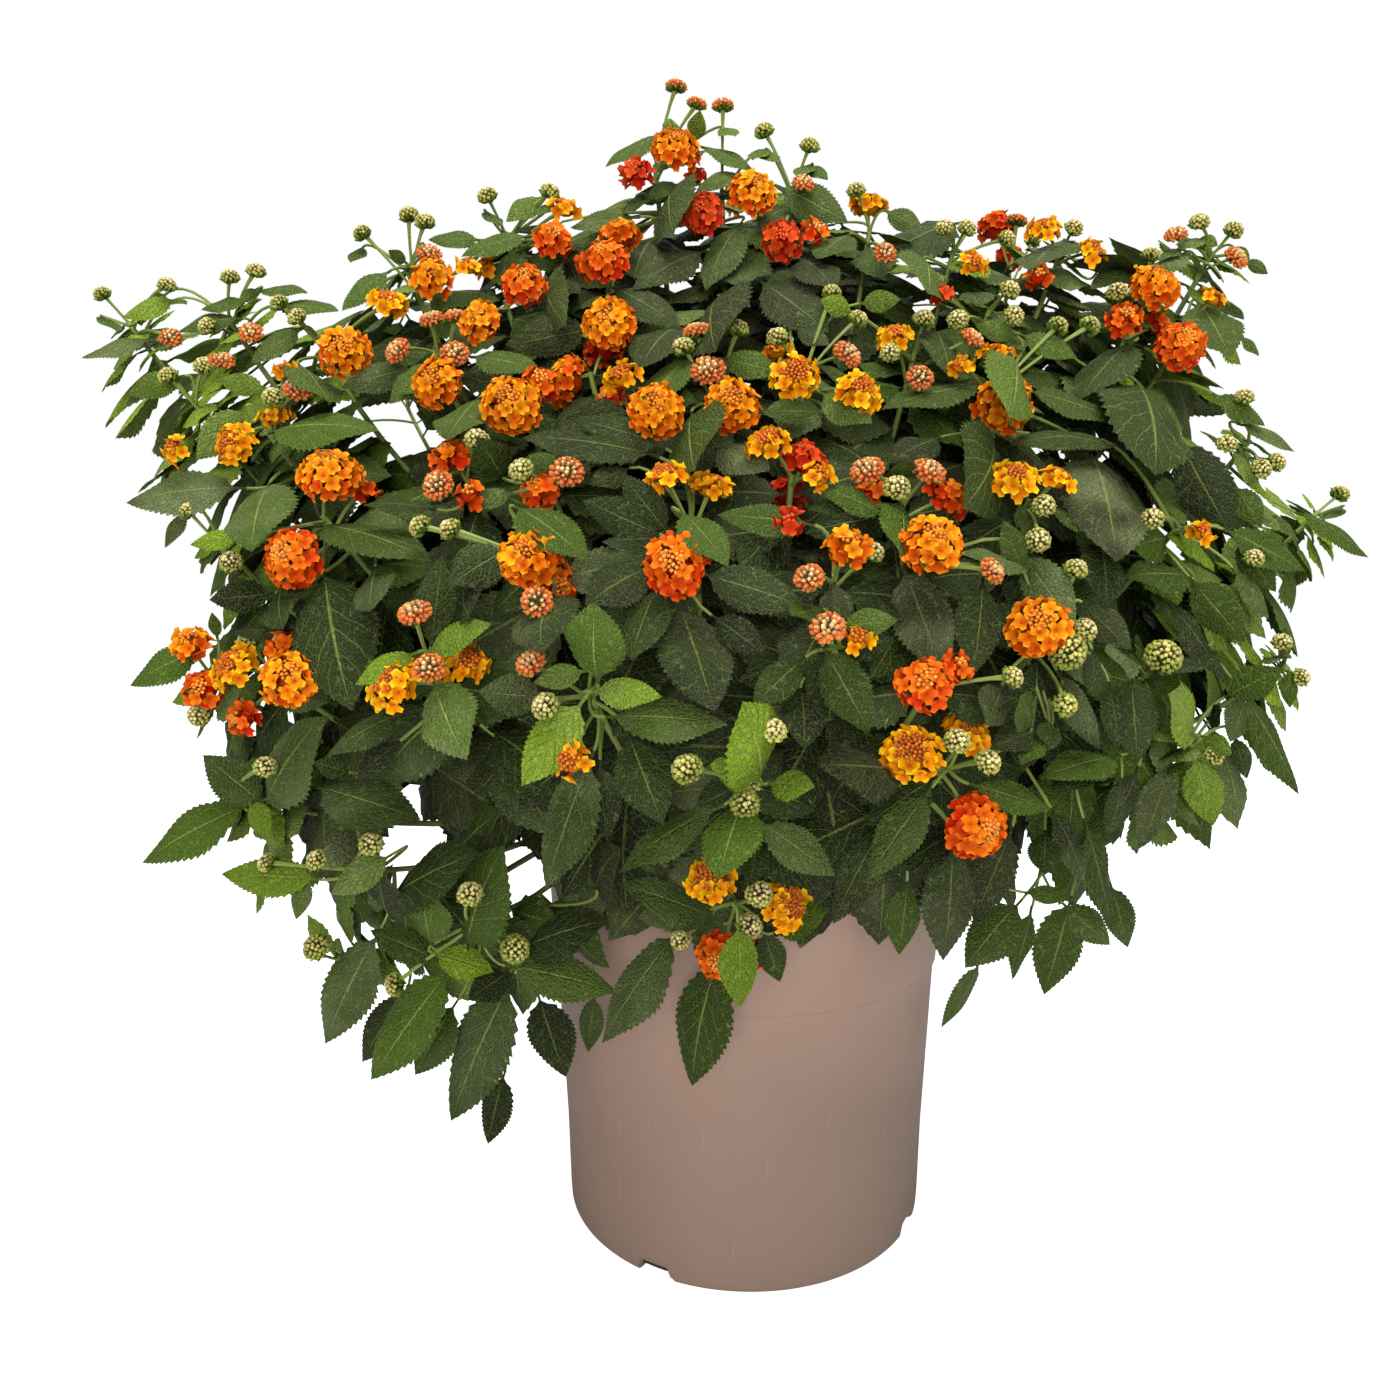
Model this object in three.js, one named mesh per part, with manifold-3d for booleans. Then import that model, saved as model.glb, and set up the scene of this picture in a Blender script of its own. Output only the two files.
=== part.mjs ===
// A flowering lantana bush in its plastic container, in millimetres, +Z up, origin at the pot's underside.
// Woody branches stand in holes in the potting mix and fork into shoots. Each shoot carries opposite pairs
// of toothed leaves, and at its tip a spray of stalked round heads: buds, closed coral heads and blooms.
import * as THREE from "three";
import { mergeVertices } from "three/addons/utils/BufferGeometryUtils.js";
import Module from "manifold-3d";

const wasm = await Module();
wasm.setup();

// ---- driving dimensions ----

const pot = {
  height: 248,
  rimRadius: 140,
  baseRadius: 127,
  wall: 3,
  floor: 4,
  edge: 5, // rounding of the lower edge
  collarHeight: 185, // underside of the slightly wider band below the rim
  collarStep: 1.4,
  sides: 24,
};
const notch = { count: 4, first: 241, width: 26, height: 10, depth: 13 }; // drainage, angles in degrees
const soil = { top: 222, mound: 5, holeDepth: 42, holeSides: 5 };
const clear = 0.3; // gap between two pieces that touch
const sliver = 0.05; // shorter edges than this are closed up where pieces are joined

// The face of the bush is laid out as seen from eye, a point in front of it: across and down are
// thousandths of the distance along the line of sight, counted from the upper left of the view.
const eye = { x: -32, y: -711, z: 432, tilt: 5.7, centre: 700, scale: 1000 };
const face = { depth: 290, down: 680, spreadDown: 420, across: 715, halfAcross: 640, leastSquare: 0.04 };
const heart = new THREE.Vector3(0, 0, 280); // the point that branches and shoots spread from
const forkStretch = [0.05, 0.96]; // between these shares of a trunk's last stretch its shoots start
const tipSink = 34; // how far a shoot's tip lies behind the heads it carries

// Rings of branches: crown in the middle, skirt round the rim. lift is the rise in degrees.
const rings = [
  { name: "crown", count: 5, first: 21, lift: 60, hole: 30, reach: 150 },
  { name: "skirt", count: 8, first: 22.5, lift: 14, hole: 82, reach: 120 },
];
const wood = { rootRadius: 4.6, forkRadius: 3.2, sides: 4, steps: 3, upright: 30, arrive: 42 };
const green = { forkRadius: 2.4, tipRadius: 1.9, sides: 3, joints: [0, 0.55] };
// Heads stand on stalks, rooted topBelow under the tip and then one every step, on the last straight stretch.
const stalk = { radius: 0.95, sides: 3, rachis: 30, topBelow: 1.5, step: 4.4 };

// The sides and back of the bush follow a rule: shoots at golden angles over a dome.
const dome = { x: 425, y: 305, z: 318, centreY: 18, centreZ: 428, count: 34, lowest: -0.3, frontLimit: 95 };
const goldenTurn = Math.PI * (3 - Math.sqrt(5));

// Leaf pairs down a shoot: distance below its tip, blade length with stalk, and width over length.
const leafPairs = [
  { below: 35, length: 46, width: 0.5 },
  { below: 56, length: 66, width: 0.5 },
  { below: 86, length: 80, width: 0.52 },
  { below: 120, length: 84, width: 0.54 },
];
const budShootPairs = [
  { below: 3, length: 26, width: 0.46 },
  { below: 20, length: 44, width: 0.5 },
];
const pairOrder = [2, 1, 0, 3]; // which pair is placed first, where room is short
const pairStep = 0.7; // one leaf of a pair sits this much lower
const leafRoom = 25; // no leaf grows nearer than this to where its stem leaves the branch
const mostLeaves = 142;
const leafRise = 1.3; // blade thickness at the midrib
const petiole = { share: 0.17, halfWidth: 0.9, rootHalf: 0.5 };

// A shoot: tip across and down, then its heads as kind and diameter, across, down, the nearest first.
// b bud, g large green bud, c closed coral head, y yellow, o orange and r red bloom.
const faceShoots = [
  "128 322 | b11 102 294 | b11 167 285 | c13 171 338",
  "228 318 | b11 230 277 | b11 256 271 | c13 251 333 | b11 207 326",
  "315 335 | y33 346 354 | b11 297 317 | b11 279 303 | y26 387 305",
  "190 398 | c14 222 361 | b12 204 366 | b12 168 376 | y20 176 450",
  "405 265 | y27 433 280 | c14 429 254 | b12 425 222 | b12 409 215 | b11 362 233 | y18 468 268",
  "262 425 | y28 236 446 | c16 298 391 | b12 273 397 | y22 275 418 | y18 285 372",
  "322 515 | y36 331 478 | o35 294 559 | o20 362 492",
  "432 350 | c15 398 351 | c15 455 354 | y30 438 384 | c14 432 320 | c13 456 317",
  "215 540 | b11 188 511 | b12 231 562",
  "205 672 | o24 205 691 | y24 192 646 | b13 199 715",
  "262 668 | y34 291 679 | y30 236 668 | b13 250 640 | o22 245 717 | o20 282 646",
  "430 672 | c16 429 668 | c17 415 613 | y34 394 685 | y28 466 666",
  "505 232 | b12 487 196 | b12 550 192 | o26 552 241 | y22 564 210 | y20 486 268",
  "505 300 | o30 524 287 | y27 481 323",
  "608 290 | y33 610 325 | o34 604 265 | y28 619 238",
  "512 378 | y34 512 406 | o24 539 384",
  "590 372 | y33 570 383 | o26 603 352",
  "462 470 | c16 438 486 | b13 477 440 | o24 451 458 | o18 470 495",
  "548 480 | c17 567 472 | b13 521 470 | o24 540 492",
  "545 560 | c16 537 602 | y36 530 560 | o26 556 583",
  "640 392 | y32 656 412 | y22 622 378 | o22 611 402",
  "712 385 | c18 708 371 | c15 697 332 | b12 683 347 | b12 738 329 | y32 731 407",
  "805 370 | c16 847 355 | b12 777 337 | y30 795 378 | y28 858 394 | y20 777 353",
  "792 475 | y26 768 444 | y20 818 477 | r27 804 462 | r26 787 495 | r18 789 522",
  "690 520 | o38 676 566 | y27 666 479 | y28 711 489",
  "655 165 | c13 676 87 | c12 697 104 | y34 676 152 | r24 637 175",
  "722 190 | c13 723 106 | y33 752 195 | r30 703 216 | r18 695 180",
  "792 190 | b12 764 131 | b12 810 146 | c13 803 184 | r28 781 242 | o18 815 232",
  "870 228 | b11 856 190 | y28 868 208 | c13 885 253",
  "955 245 | b11 944 228 | b11 967 228 | b11 1007 239 | y20 972 265",
  "1062 250 | b11 1074 228 | y24 1044 231 | y22 1090 253 | o18 1038 278",
  "990 308 | b12 1010 290 | b12 1014 316 | b12 958 320 | r14 942 296",
  "915 352 | b12 924 319 | b11 890 353 | c14 920 378 | c14 972 339 | y24 895 339",
  "998 385 | y34 1004 404 | y24 997 356 | y16 961 367",
  "1143 305 | b12 1117 292 | b11 1151 255 | y34 1154 290 | y22 1131 278 | o24 1124 321 | o22 1156 326",
  "1185 330 | o32 1180 346 | y20 1211 299",
  "1212 252 | b12 1199 222 | c13 1176 235 | b12 1234 230 | c15 1236 258",
  "905 498 | c17 867 471 | c17 929 472 | b14 897 488 | o26 946 499 | o22 872 492",
  "925 562 | y36 931 546",
  "835 575 | y26 848 549 | c15 809 578 | b12 873 552",
  "1030 500 | b12 1044 506 | b13 1038 540 | y28 1012 481 | y22 1056 480",
  "1062 620 | y36 1038 628 | g20 1067 651 | b13 1085 630 | b12 1076 569",
  "1180 525 | b12 1152 519 | y18 1200 533",
  "1250 440 | b11 1244 397 | b12 1261 469 | b11 1227 444 | b11 1277 462",
  "1318 512 | b12 1340 494",
  "1245 575 | b11 1254 558",
  "1285 664 | b11 1282 642 | b11 1301 677",
  "1150 672 | g19 1163 657",
  "1190 750 | b11 1214 755",
  "935 678 | o32 924 685 | o20 956 668 | b12 1013 677",
  "952 765 | b14 957 741 | b14 988 762 | o40 973 826 | y38 912 755 | y30 966 734",
  "742 778 | g16 745 804 | g17 687 769 | b14 774 731 | b11 752 783",
  "735 905 | b15 759 894 | b14 749 926 | y34 785 906 | y30 711 881 | o30 722 956 | o18 760 954 | b11 680 940",
  "588 690 | b13 601 636 | b15 545 706 | c16 531 663 | y26 572 760",
  "842 648 | c18 828 628 | y22 858 640",
  "470 925 | b14 470 894 | g16 515 949 | b14 395 984",
  "352 872 | b13 371 844 | b12 317 860 | b11 267 862",
  "335 960 | g16 317 947",
  "235 795 | b12 265 767 | b12 197 822",
];
const closedByBlooms = 1; // closed heads kept on a shoot in bloom, and on one with none
const closedAlone = 2;
const sprayLeast = 25; // a shoot with a bloom at least this wide has its spray in a node of its own
const backSprays = 2; // every so many shoots of the back have theirs in a node of its own

// Hanging leaves of the lower edge: where the blade starts and where it ends, across and down.
const edgeLeaves = [
  [244, 805, 143, 863], [311, 879, 221, 874], [375, 945, 324, 1045], [443, 982, 370, 1080],
  [498, 1002, 452, 1121], [554, 999, 564, 1077], [518, 965, 617, 992], [588, 770, 546, 889],
  [707, 916, 618, 884], [710, 979, 692, 1085], [671, 941, 602, 1043], [907, 892, 905, 954],
  [951, 852, 943, 960], [1000, 905, 942, 1029], [1010, 900, 985, 965], [1075, 905, 1045, 995],
  [1085, 850, 1125, 950], [1190, 745, 1185, 690], [1200, 760, 1206, 825], [1255, 700, 1302, 795],
  [1180, 420, 1235, 535], [1330, 520, 1370, 558], [120, 325, 80, 355], [215, 455, 125, 500],
  [175, 645, 132, 685], [330, 590, 350, 710], [650, 145, 605, 165], [1190, 240, 1268, 272],
];
const edgeLeafWidth = 0.55;

const colours = {
  pot: "#97806f",
  soil: "#2b221c",
  foliage: ["#3f5f35", "#48703a", "#557d3c"],
  y: "#f5a319",
  o: "#ee6f1c",
  r: "#d9381c",
};

// ---- small helpers ----

const up = new THREE.Vector3(0, 0, 1);
const vec = (x, y, z) => new THREE.Vector3(x, y, z);
const isOpen = (head) => "yor".includes(head.kind);
const degrees = THREE.MathUtils.degToRad;

// A repeatable draw from 0 to 1 for item i and its detail j.
function draw(i, j) {
  const s = Math.sin(i * 12.9898 + j * 78.233 + 7.7) * 43758.5453;
  return s - Math.floor(s);
}

function solidFrom(points, faces) {
  const vertProperties = new Float32Array(points.flatMap((p) => [p.x, p.y, p.z]));
  const triVerts = new Uint32Array(faces.flat());
  return new wasm.Manifold(new wasm.Mesh({ numProp: 3, vertProperties, triVerts }));
}

function solidOfGeometry(geometry) {
  const bare = geometry.index ? geometry.toNonIndexed() : geometry.clone();
  bare.deleteAttribute("normal");
  bare.deleteAttribute("uv");
  const merged = mergeVertices(bare, 1e-3);
  return new wasm.Manifold(
    new wasm.Mesh({
      numProp: 3,
      vertProperties: merged.attributes.position.array,
      triVerts: new Uint32Array(merged.index.array),
    }),
  );
}

function meshOf(name, solid, colour, roughness) {
  const { vertProperties, triVerts } = solid.getMesh();
  const geometry = new THREE.BufferGeometry();
  geometry.setAttribute("position", new THREE.BufferAttribute(vertProperties, 3));
  geometry.setIndex(new THREE.BufferAttribute(triVerts, 1));
  geometry.computeVertexNormals();
  const material = new THREE.MeshStandardMaterial({ color: colour, roughness, metalness: 0 });
  const mesh = new THREE.Mesh(geometry, material);
  mesh.name = name;
  return mesh;
}

// Two unit vectors square to a direction.
function squareTo(direction) {
  const helper = Math.abs(direction.z) > 0.9 ? vec(1, 0, 0) : up;
  const side = vec(0, 0, 0).crossVectors(helper, direction).normalize();
  return [side, vec(0, 0, 0).crossVectors(direction, side)];
}

// A ring of points round centre, square to direction; every second one may lie further out or further along.
function ringOf(centre, direction, count, radius, oddRadius = radius, oddAlong = 0, turn = 0, axes = null) {
  const [a, b] = axes ?? squareTo(direction);
  return Array.from({ length: count }, (_, k) => {
    const angle = turn + (2 * Math.PI * k) / count;
    const r = k % 2 ? oddRadius : radius;
    return centre
      .clone()
      .addScaledVector(a, r * Math.cos(angle))
      .addScaledVector(b, r * Math.sin(angle))
      .addScaledVector(direction, k % 2 ? oddAlong : 0);
  });
}

// A closed body through rings of points, from the first to the last along its axis. A ring may be one
// point, and two rings in a row may differ in count: the nearer next corner is joined first.
function loft(rings) {
  const faces = [];
  const starts = [];
  rings.reduce((sum, ring) => (starts.push(sum), sum + ring.length), 0);
  for (let r = 0; r < rings.length - 1; r++) {
    const [n, m, s, t] = [rings[r].length, rings[r + 1].length, starts[r], starts[r + 1]];
    let [i, j] = [0, 0];
    while (i < (n > 1 ? n : 0) || j < (m > 1 ? m : 0)) {
      const onFirst = n > 1 && (m === 1 || j >= m || (i < n && (i + 1) / n <= (j + 1) / m));
      if (onFirst) faces.push([s + i, s + (++i % n), t + (j % m)]);
      else faces.push([s + (i % n), t + ((j + 1) % m), t + j++]);
    }
  }
  for (const [ring, start, flip] of [[rings[0], 0, true], [rings.at(-1), starts.at(-1), false]])
    for (let k = 1; k < ring.length - 1; k++)
      faces.push(flip ? [start, start + k + 1, start + k] : [start, start + k, start + k + 1]);
  return solidFrom(rings.flat(), faces);
}

// A closed tapered tube through points, each section square to the way there; a stem ends along endWay.
function tube(points, radii, sides, endWay) {
  const ways = points.map((p, i) =>
    points[Math.min(i + 1, points.length - 1)].clone().sub(points[Math.max(i - 1, 0)]).normalize(),
  );
  if (endWay) ways[ways.length - 1] = endWay;
  let [a] = squareTo(ways[0]);
  return loft(
    points.map((p, i) => {
      a = a.clone().addScaledVector(ways[i], -a.dot(ways[i])).normalize(); // carried on, so it never twists
      const axes = [a, vec(0, 0, 0).crossVectors(ways[i], a)];
      return ringOf(p, ways[i], sides, radii[i], radii[i], 0, 0, axes);
    }),
  );
}

// ---- layout: shoots, heads and branches ----

// The point on the line of sight across and down, where it reaches depth y.
function onSight(across, down, y) {
  const [a, b] = [(across - eye.centre) / eye.scale, (eye.centre - down) / eye.scale];
  const [c, s] = [Math.cos(degrees(eye.tilt)), Math.sin(degrees(eye.tilt))];
  const t = (y - eye.y) / (c + b * s);
  return vec(eye.x + a * t, y, eye.z + (b * c - s) * t);
}

// How far forward the bush's face stands there: deepest in the middle, nearly none at its outline.
function faceDepth(across, down) {
  const rise = (down - face.down) / face.spreadDown;
  const aside = (across - face.across) / face.halfAcross;
  return -face.depth * Math.exp(-rise * rise) * Math.sqrt(Math.max(face.leastSquare, 1 - aside * aside));
}

function readShoot(line) {
  const [tip, ...heads] = line.split(" | ").map((part) => part.split(" "));
  const [across, down] = tip.map(Number);
  return {
    tip: onSight(across, down, faceDepth(across, down) + tipSink),
    heads: heads.map(([kind, x, y]) => ({
      kind: kind[0],
      size: Number(kind.slice(1)),
      centre: onSight(Number(x), Number(y), faceDepth(Number(x), Number(y))),
      sight: [Number(x), Number(y)],
    })),
  };
}

// A shoot points away from the bush's heart, lifted towards the light above and hanging below.
function shootDirection(tip) {
  const away = tip.clone().sub(heart).normalize();
  away.z += THREE.MathUtils.clamp((tip.z - 250) / 300, -0.4, 0.45);
  return away.normalize();
}

// One shoot of the sides and back: its tip on the dome and its heads round it.
function domeShoot(index) {
  const sine = dome.lowest + ((0.985 - dome.lowest) * (index + 0.5)) / dome.count;
  const flat = Math.sqrt(1 - sine * sine);
  const turn = goldenTurn * index;
  const spread = 0.93 + 0.12 * draw(index, 1);
  const tip = vec(
    dome.x * flat * Math.cos(turn) * spread,
    dome.centreY + dome.y * flat * Math.sin(turn) * spread,
    dome.centreZ + dome.z * sine * spread,
  );
  if (tip.y < dome.frontLimit) return null;
  const direction = shootDirection(tip);
  const [a, b] = squareTo(direction);
  const tone = "yyor"[Math.floor(4 * draw(index, 2))];
  const kinds = [tone + "32", "b12", tone + "27", "c15"].slice(0, 3 + (index % 2));
  const heads = kinds.map((kind, k) => {
    const angle = goldenTurn * k + 6.3 * draw(index, 3);
    const out = k === 1 ? 6 : 25;
    const centre = tip
      .clone()
      .addScaledVector(direction, 27 + 8 * draw(index, 4 + k))
      .addScaledVector(a, out * Math.cos(angle))
      .addScaledVector(b, out * Math.sin(angle));
    return { kind: kind[0], size: Number(kind.slice(1)), centre };
  });
  return { tip, heads, back: true };
}

// Moves each head of the face back along its line of sight until it is clear of all heads before it.
function spreadHeads(shoots) {
  const placed = [];
  for (const shoot of shoots)
    for (const head of shoot.heads) {
      const close = (h) => h.centre.distanceTo(head.centre) < (h.size + head.size) / 2 + 0.5;
      while (head.sight && placed.some(close))
        head.centre = onSight(head.sight[0], head.sight[1], head.centre.y + 3);
      placed.push(head);
    }
}

function layShoots() {
  const front = faceShoots.map(readShoot);
  const back = Array.from({ length: dome.count }, (_, i) => domeShoot(i)).filter(Boolean);
  const shoots = [...front, ...back];
  spreadHeads(shoots);
  let backBlooms = 0;
  shoots.forEach((shoot, i) => {
    shoot.index = i;
    shoot.direction = shootDirection(shoot.tip);
    const largest = shoot.heads.filter(isOpen).sort((p, q) => q.size - p.size)[0];
    shoot.tone = largest ? largest.kind : null;
    const large = Boolean(largest) && largest.size >= sprayLeast;
    shoot.ownSpray = large && (!shoot.back || backBlooms++ % backSprays === 0);
  });
  return shoots;
}

function layBranches() {
  return rings.flatMap((ring) =>
    Array.from({ length: ring.count }, (_, k) => {
      const turn = degrees(ring.first + (360 * k) / ring.count);
      const lift = degrees(ring.lift);
      const out = vec(Math.cos(turn), Math.sin(turn), 0);
      const direction = out.clone().multiplyScalar(Math.cos(lift)).addScaledVector(up, Math.sin(lift));
      return {
        name: `${ring.name}_branch_${k + 1}`,
        direction,
        hole: out.clone().multiplyScalar(ring.hole),
        fork: heart.clone().addScaledVector(direction, ring.reach),
      };
    }),
  );
}

// The branch whose direction is nearest to the shoot's, seen from the heart.
function branchOf(shoot, branches) {
  const away = shoot.tip.clone().sub(heart).normalize();
  return branches.reduce((best, b) => (b.direction.dot(away) > best.direction.dot(away) ? b : best));
}

// The stem of a shoot: a bent line from its place on the branch to the tip, arriving along its direction.
// The last stretch is straight, and carries the stalks of the heads.
function layStem(shoot, start) {
  const cut = shoot.tip.clone().addScaledVector(shoot.direction, -stalk.rachis);
  const bend = cut.clone().addScaledVector(shoot.direction, -0.4 * cut.distanceTo(start));
  const curve = new THREE.QuadraticBezierCurve3(start, bend, cut);
  return [...green.joints.map((t) => curve.getPoint(t)), cut, shoot.tip];
}

// The point that lies a given distance below the tip, along the stem, and the way the stem runs there.
function onStem(stem, below) {
  let left = below;
  for (let i = stem.length - 1; i > 0; i--) {
    const way = stem[i].clone().sub(stem[i - 1]);
    const length = way.length();
    way.normalize();
    if (left <= length || i === 1) return { point: stem[i].clone().addScaledVector(way, -left), way };
    left -= length;
  }
}

const stemLength = (stem) => stem.slice(1).reduce((sum, p, i) => sum + p.distanceTo(stem[i]), 0);

// ---- pot and soil ----

// The outer radius at height z, without the collar's step.
const wallRadius = (z) => pot.baseRadius + ((pot.rimRadius - pot.baseRadius) * z) / pot.height;

function makePot() {
  const { height, wall, floor, edge, collarHeight, collarStep, sides } = pot;
  const low = collarHeight - collarStep;
  const profile = [
    [0, 0],
    [pot.baseRadius - edge, 0],
    [wallRadius(edge), edge],
    [wallRadius(low) - collarStep, low],
    [wallRadius(collarHeight), collarHeight],
    [wallRadius(height), height - 1],
    [wallRadius(height) - 1, height],
    [wallRadius(height) - wall, height],
    [wallRadius(floor) - wall - collarStep, floor],
    [0, floor],
  ].map(([r, z]) => new THREE.Vector2(r, z));
  const lathe = new THREE.LatheGeometry(profile, sides);
  lathe.rotateX(Math.PI / 2);
  let solid = solidOfGeometry(lathe);
  for (let k = 0; k < notch.count; k++)
    solid = solid.subtract(notchCutter(notch.first + (360 * k) / notch.count));
  return solid;
}

// A drainage notch: a flat-topped arch through the lower edge of the wall, angle in degrees.
function notchCutter(angle) {
  const arch = new THREE.Shape();
  arch.moveTo(-notch.width / 2, -1);
  arch.lineTo(notch.width / 2, -1);
  arch.lineTo(notch.width / 2 - 5, notch.height);
  arch.lineTo(5 - notch.width / 2, notch.height);
  const cutter = new THREE.ExtrudeGeometry(arch, { depth: notch.depth * 2, bevelEnabled: false });
  cutter.rotateX(Math.PI / 2); // the arch stands upright and runs towards -Y
  cutter.translate(0, notch.depth - pot.baseRadius, 0);
  cutter.rotateZ(degrees(angle + 90));
  return solidOfGeometry(cutter);
}

function makeSoil(branches) {
  const innerRadius = (z) => wallRadius(z) - pot.wall - pot.collarStep - clear;
  const bottom = pot.floor + clear;
  const profile = [
    [0, bottom],
    [innerRadius(bottom), bottom],
    [innerRadius(soil.top), soil.top],
    [0, soil.top + soil.mound],
  ].map(([r, z]) => new THREE.Vector2(r, z));
  const lathe = new THREE.LatheGeometry(profile, pot.sides);
  lathe.rotateX(Math.PI / 2);
  let solid = solidOfGeometry(lathe);
  for (const { hole } of branches) {
    const top = hole.clone().setZ(soil.top + 2 * soil.mound);
    const floor = hole.clone().setZ(soil.top - soil.holeDepth);
    const radius = (wood.rootRadius + clear) / Math.cos(Math.PI / soil.holeSides) + clear;
    solid = solid.subtract(tube([floor, top], [radius, radius], soil.holeSides));
  }
  return solid;
}

// ---- stems ----

// The line of a woody stem: upright out of its hole, then curving to the fork.
function layTrunk({ hole, fork, direction }) {
  const mouth = hole.clone().setZ(soil.top + soil.mound);
  const rise = mouth.clone().addScaledVector(up, wood.upright);
  const arrive = fork.clone().addScaledVector(direction, -wood.arrive);
  const curve = new THREE.CubicBezierCurve3(mouth, rise, arrive, fork);
  return [hole.clone().setZ(soil.top - soil.holeDepth + clear), ...curve.getPoints(wood.steps)];
}

function makeTrunk(line) {
  const taper = (wood.forkRadius - wood.rootRadius) / wood.steps;
  return tube(line, line.map((_, i) => wood.rootRadius + taper * Math.max(0, i - 1)), wood.sides);
}

// The green stem up to its tip, or up to the cut where a flower spray sits on it.
function makeShootStem(shoot) {
  const { stem, direction } = shoot;
  const line = shoot.ownSpray ? stem.slice(0, -1) : stem;
  const end = line.at(-1).clone().addScaledVector(direction, shoot.ownSpray ? -clear : 0);
  const points = [...line.slice(0, -1), end];
  const taper = (green.tipRadius - green.forkRadius) / (points.length - 1);
  return tube(points, points.map((_, i) => green.forkRadius + taper * i), green.sides, direction);
}

// ---- heads ----

// A bloom and its stalk: a dome of raised florets inside a scalloped edge of florets and gaps.
function bloom(centre, root, size, turn) {
  const r = size / 2;
  const axis = centre.clone().sub(root).normalize();
  const at = (along) => centre.clone().addScaledVector(axis, along);
  const florets = size < 25 ? 3 : size < 35 ? 4 : 5;
  return loft([
    ringOf(root, axis, stalk.sides, stalk.radius),
    ringOf(at(-0.42 * r), axis, stalk.sides, stalk.radius),
    ringOf(at(0.02 * r), axis, 2 * florets, 0.82 * r, 1.02 * r, 0.14 * r, turn),
    ringOf(at(0.64 * r), axis, florets, 0.56 * r, 0.56 * r, 0, turn),
    [at(0.74 * r)],
  ]);
}

// A tight head of unopened florets and its stalk.
function bud(centre, root, size, turn) {
  const r = size / 2;
  const axis = centre.clone().sub(root).normalize();
  const at = (along) => centre.clone().addScaledVector(axis, along);
  return loft([
    ringOf(root, axis, stalk.sides, stalk.radius),
    ringOf(at(-0.7 * r), axis, stalk.sides, stalk.radius),
    ringOf(at(0), axis, 5, r, r, 0, turn),
    [at(0.75 * r)],
  ]);
}

// The heads of a shoot with their stalks, rooted one below the other on the last stretch of the stem:
// every bloom, and as many of the closed heads as the shoot may keep.
function makeHeads(shoot) {
  let closed = 0;
  return shoot.heads.flatMap((head, j) => {
    const open = isOpen(head);
    if (!open && closed++ >= (shoot.tone ? closedByBlooms : closedAlone)) return [];
    const root = onStem(shoot.stem, stalk.topBelow + stalk.step * j).point;
    return [(open ? bloom : bud)(head.centre, root, head.size, 0.6 * draw(shoot.index, 40 + j))];
  });
}

function makeRachis({ stem, direction }) {
  const [cut, tip] = stem.slice(-2);
  return tube([cut, tip], [green.tipRadius, green.tipRadius * 0.9], green.sides, direction);
}

// ---- leaves ----

// Half outline of a blade from its stalk to the tip: place along the blade and half width. The large
// leaf has three teeth a side, the small one two.
const largeBlade = [[0.2, 0.93], [0.33, 0.84], [0.42, 0.98], [0.59, 0.68], [0.67, 0.7]];
const smallBlade = [[0.22, 0.94], [0.42, 0.8], [0.54, 0.88]];
const bladeMiddle = 0.4;

// A leaf from root along axis; side is its width's direction, droop bends it down towards the tip.
function leaf({ root, axis, side, length, width, droop, fold, blade, stalkShare = petiole.share }) {
  const normal = vec(0, 0, 0).crossVectors(axis, side).normalize();
  const half = (length * width) / 2;
  const at = (along, across, rise) =>
    root
      .clone()
      .addScaledVector(axis, along * length)
      .addScaledVector(side, across)
      .addScaledVector(normal, rise - Math.abs(across) * fold)
      .addScaledVector(up, -droop * length * along * along);
  const onBlade = (share) => stalkShare + (1 - stalkShare) * share;
  const points = [];
  const add = (p) => points.push(p) - 1;
  const tip = add(at(1, 0, 0));
  const midribs = [1, -1].map((sign) => [
    add(at(0, 0, sign * petiole.rootHalf)),
    add(at(onBlade(bladeMiddle), 0, (sign * leafRise) / 2)),
  ]);
  const edges = [1, -1].map((sign) => [
    add(at(0, sign * petiole.rootHalf, 0)),
    add(at(stalkShare, sign * petiole.halfWidth, 0)),
    ...blade.map(([share, w]) => add(at(onBlade(share), sign * w * half, 0))),
  ]);
  const faces = [];
  const face = (flip, a, b, c) => faces.push(flip ? [a, c, b] : [a, b, c]);
  midribs.forEach(([root, middle], under) =>
    edges.forEach((edge, right) => {
      const flip = under === right;
      face(flip, root, edge[0], edge[1]);
      face(flip, root, edge[1], middle);
      for (let i = 1; i < edge.length; i++) face(flip, middle, edge[i], edge[i + 1] ?? tip);
    }),
  );
  faces.push([midribs[0][0], midribs[1][0], edges[1][0]], [midribs[0][0], edges[0][0], midribs[1][0]]);
  const made = solidFrom(points, faces);
  if (made.volume() < 0) throw new Error("a leaf is inside out");
  return made;
}

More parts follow.
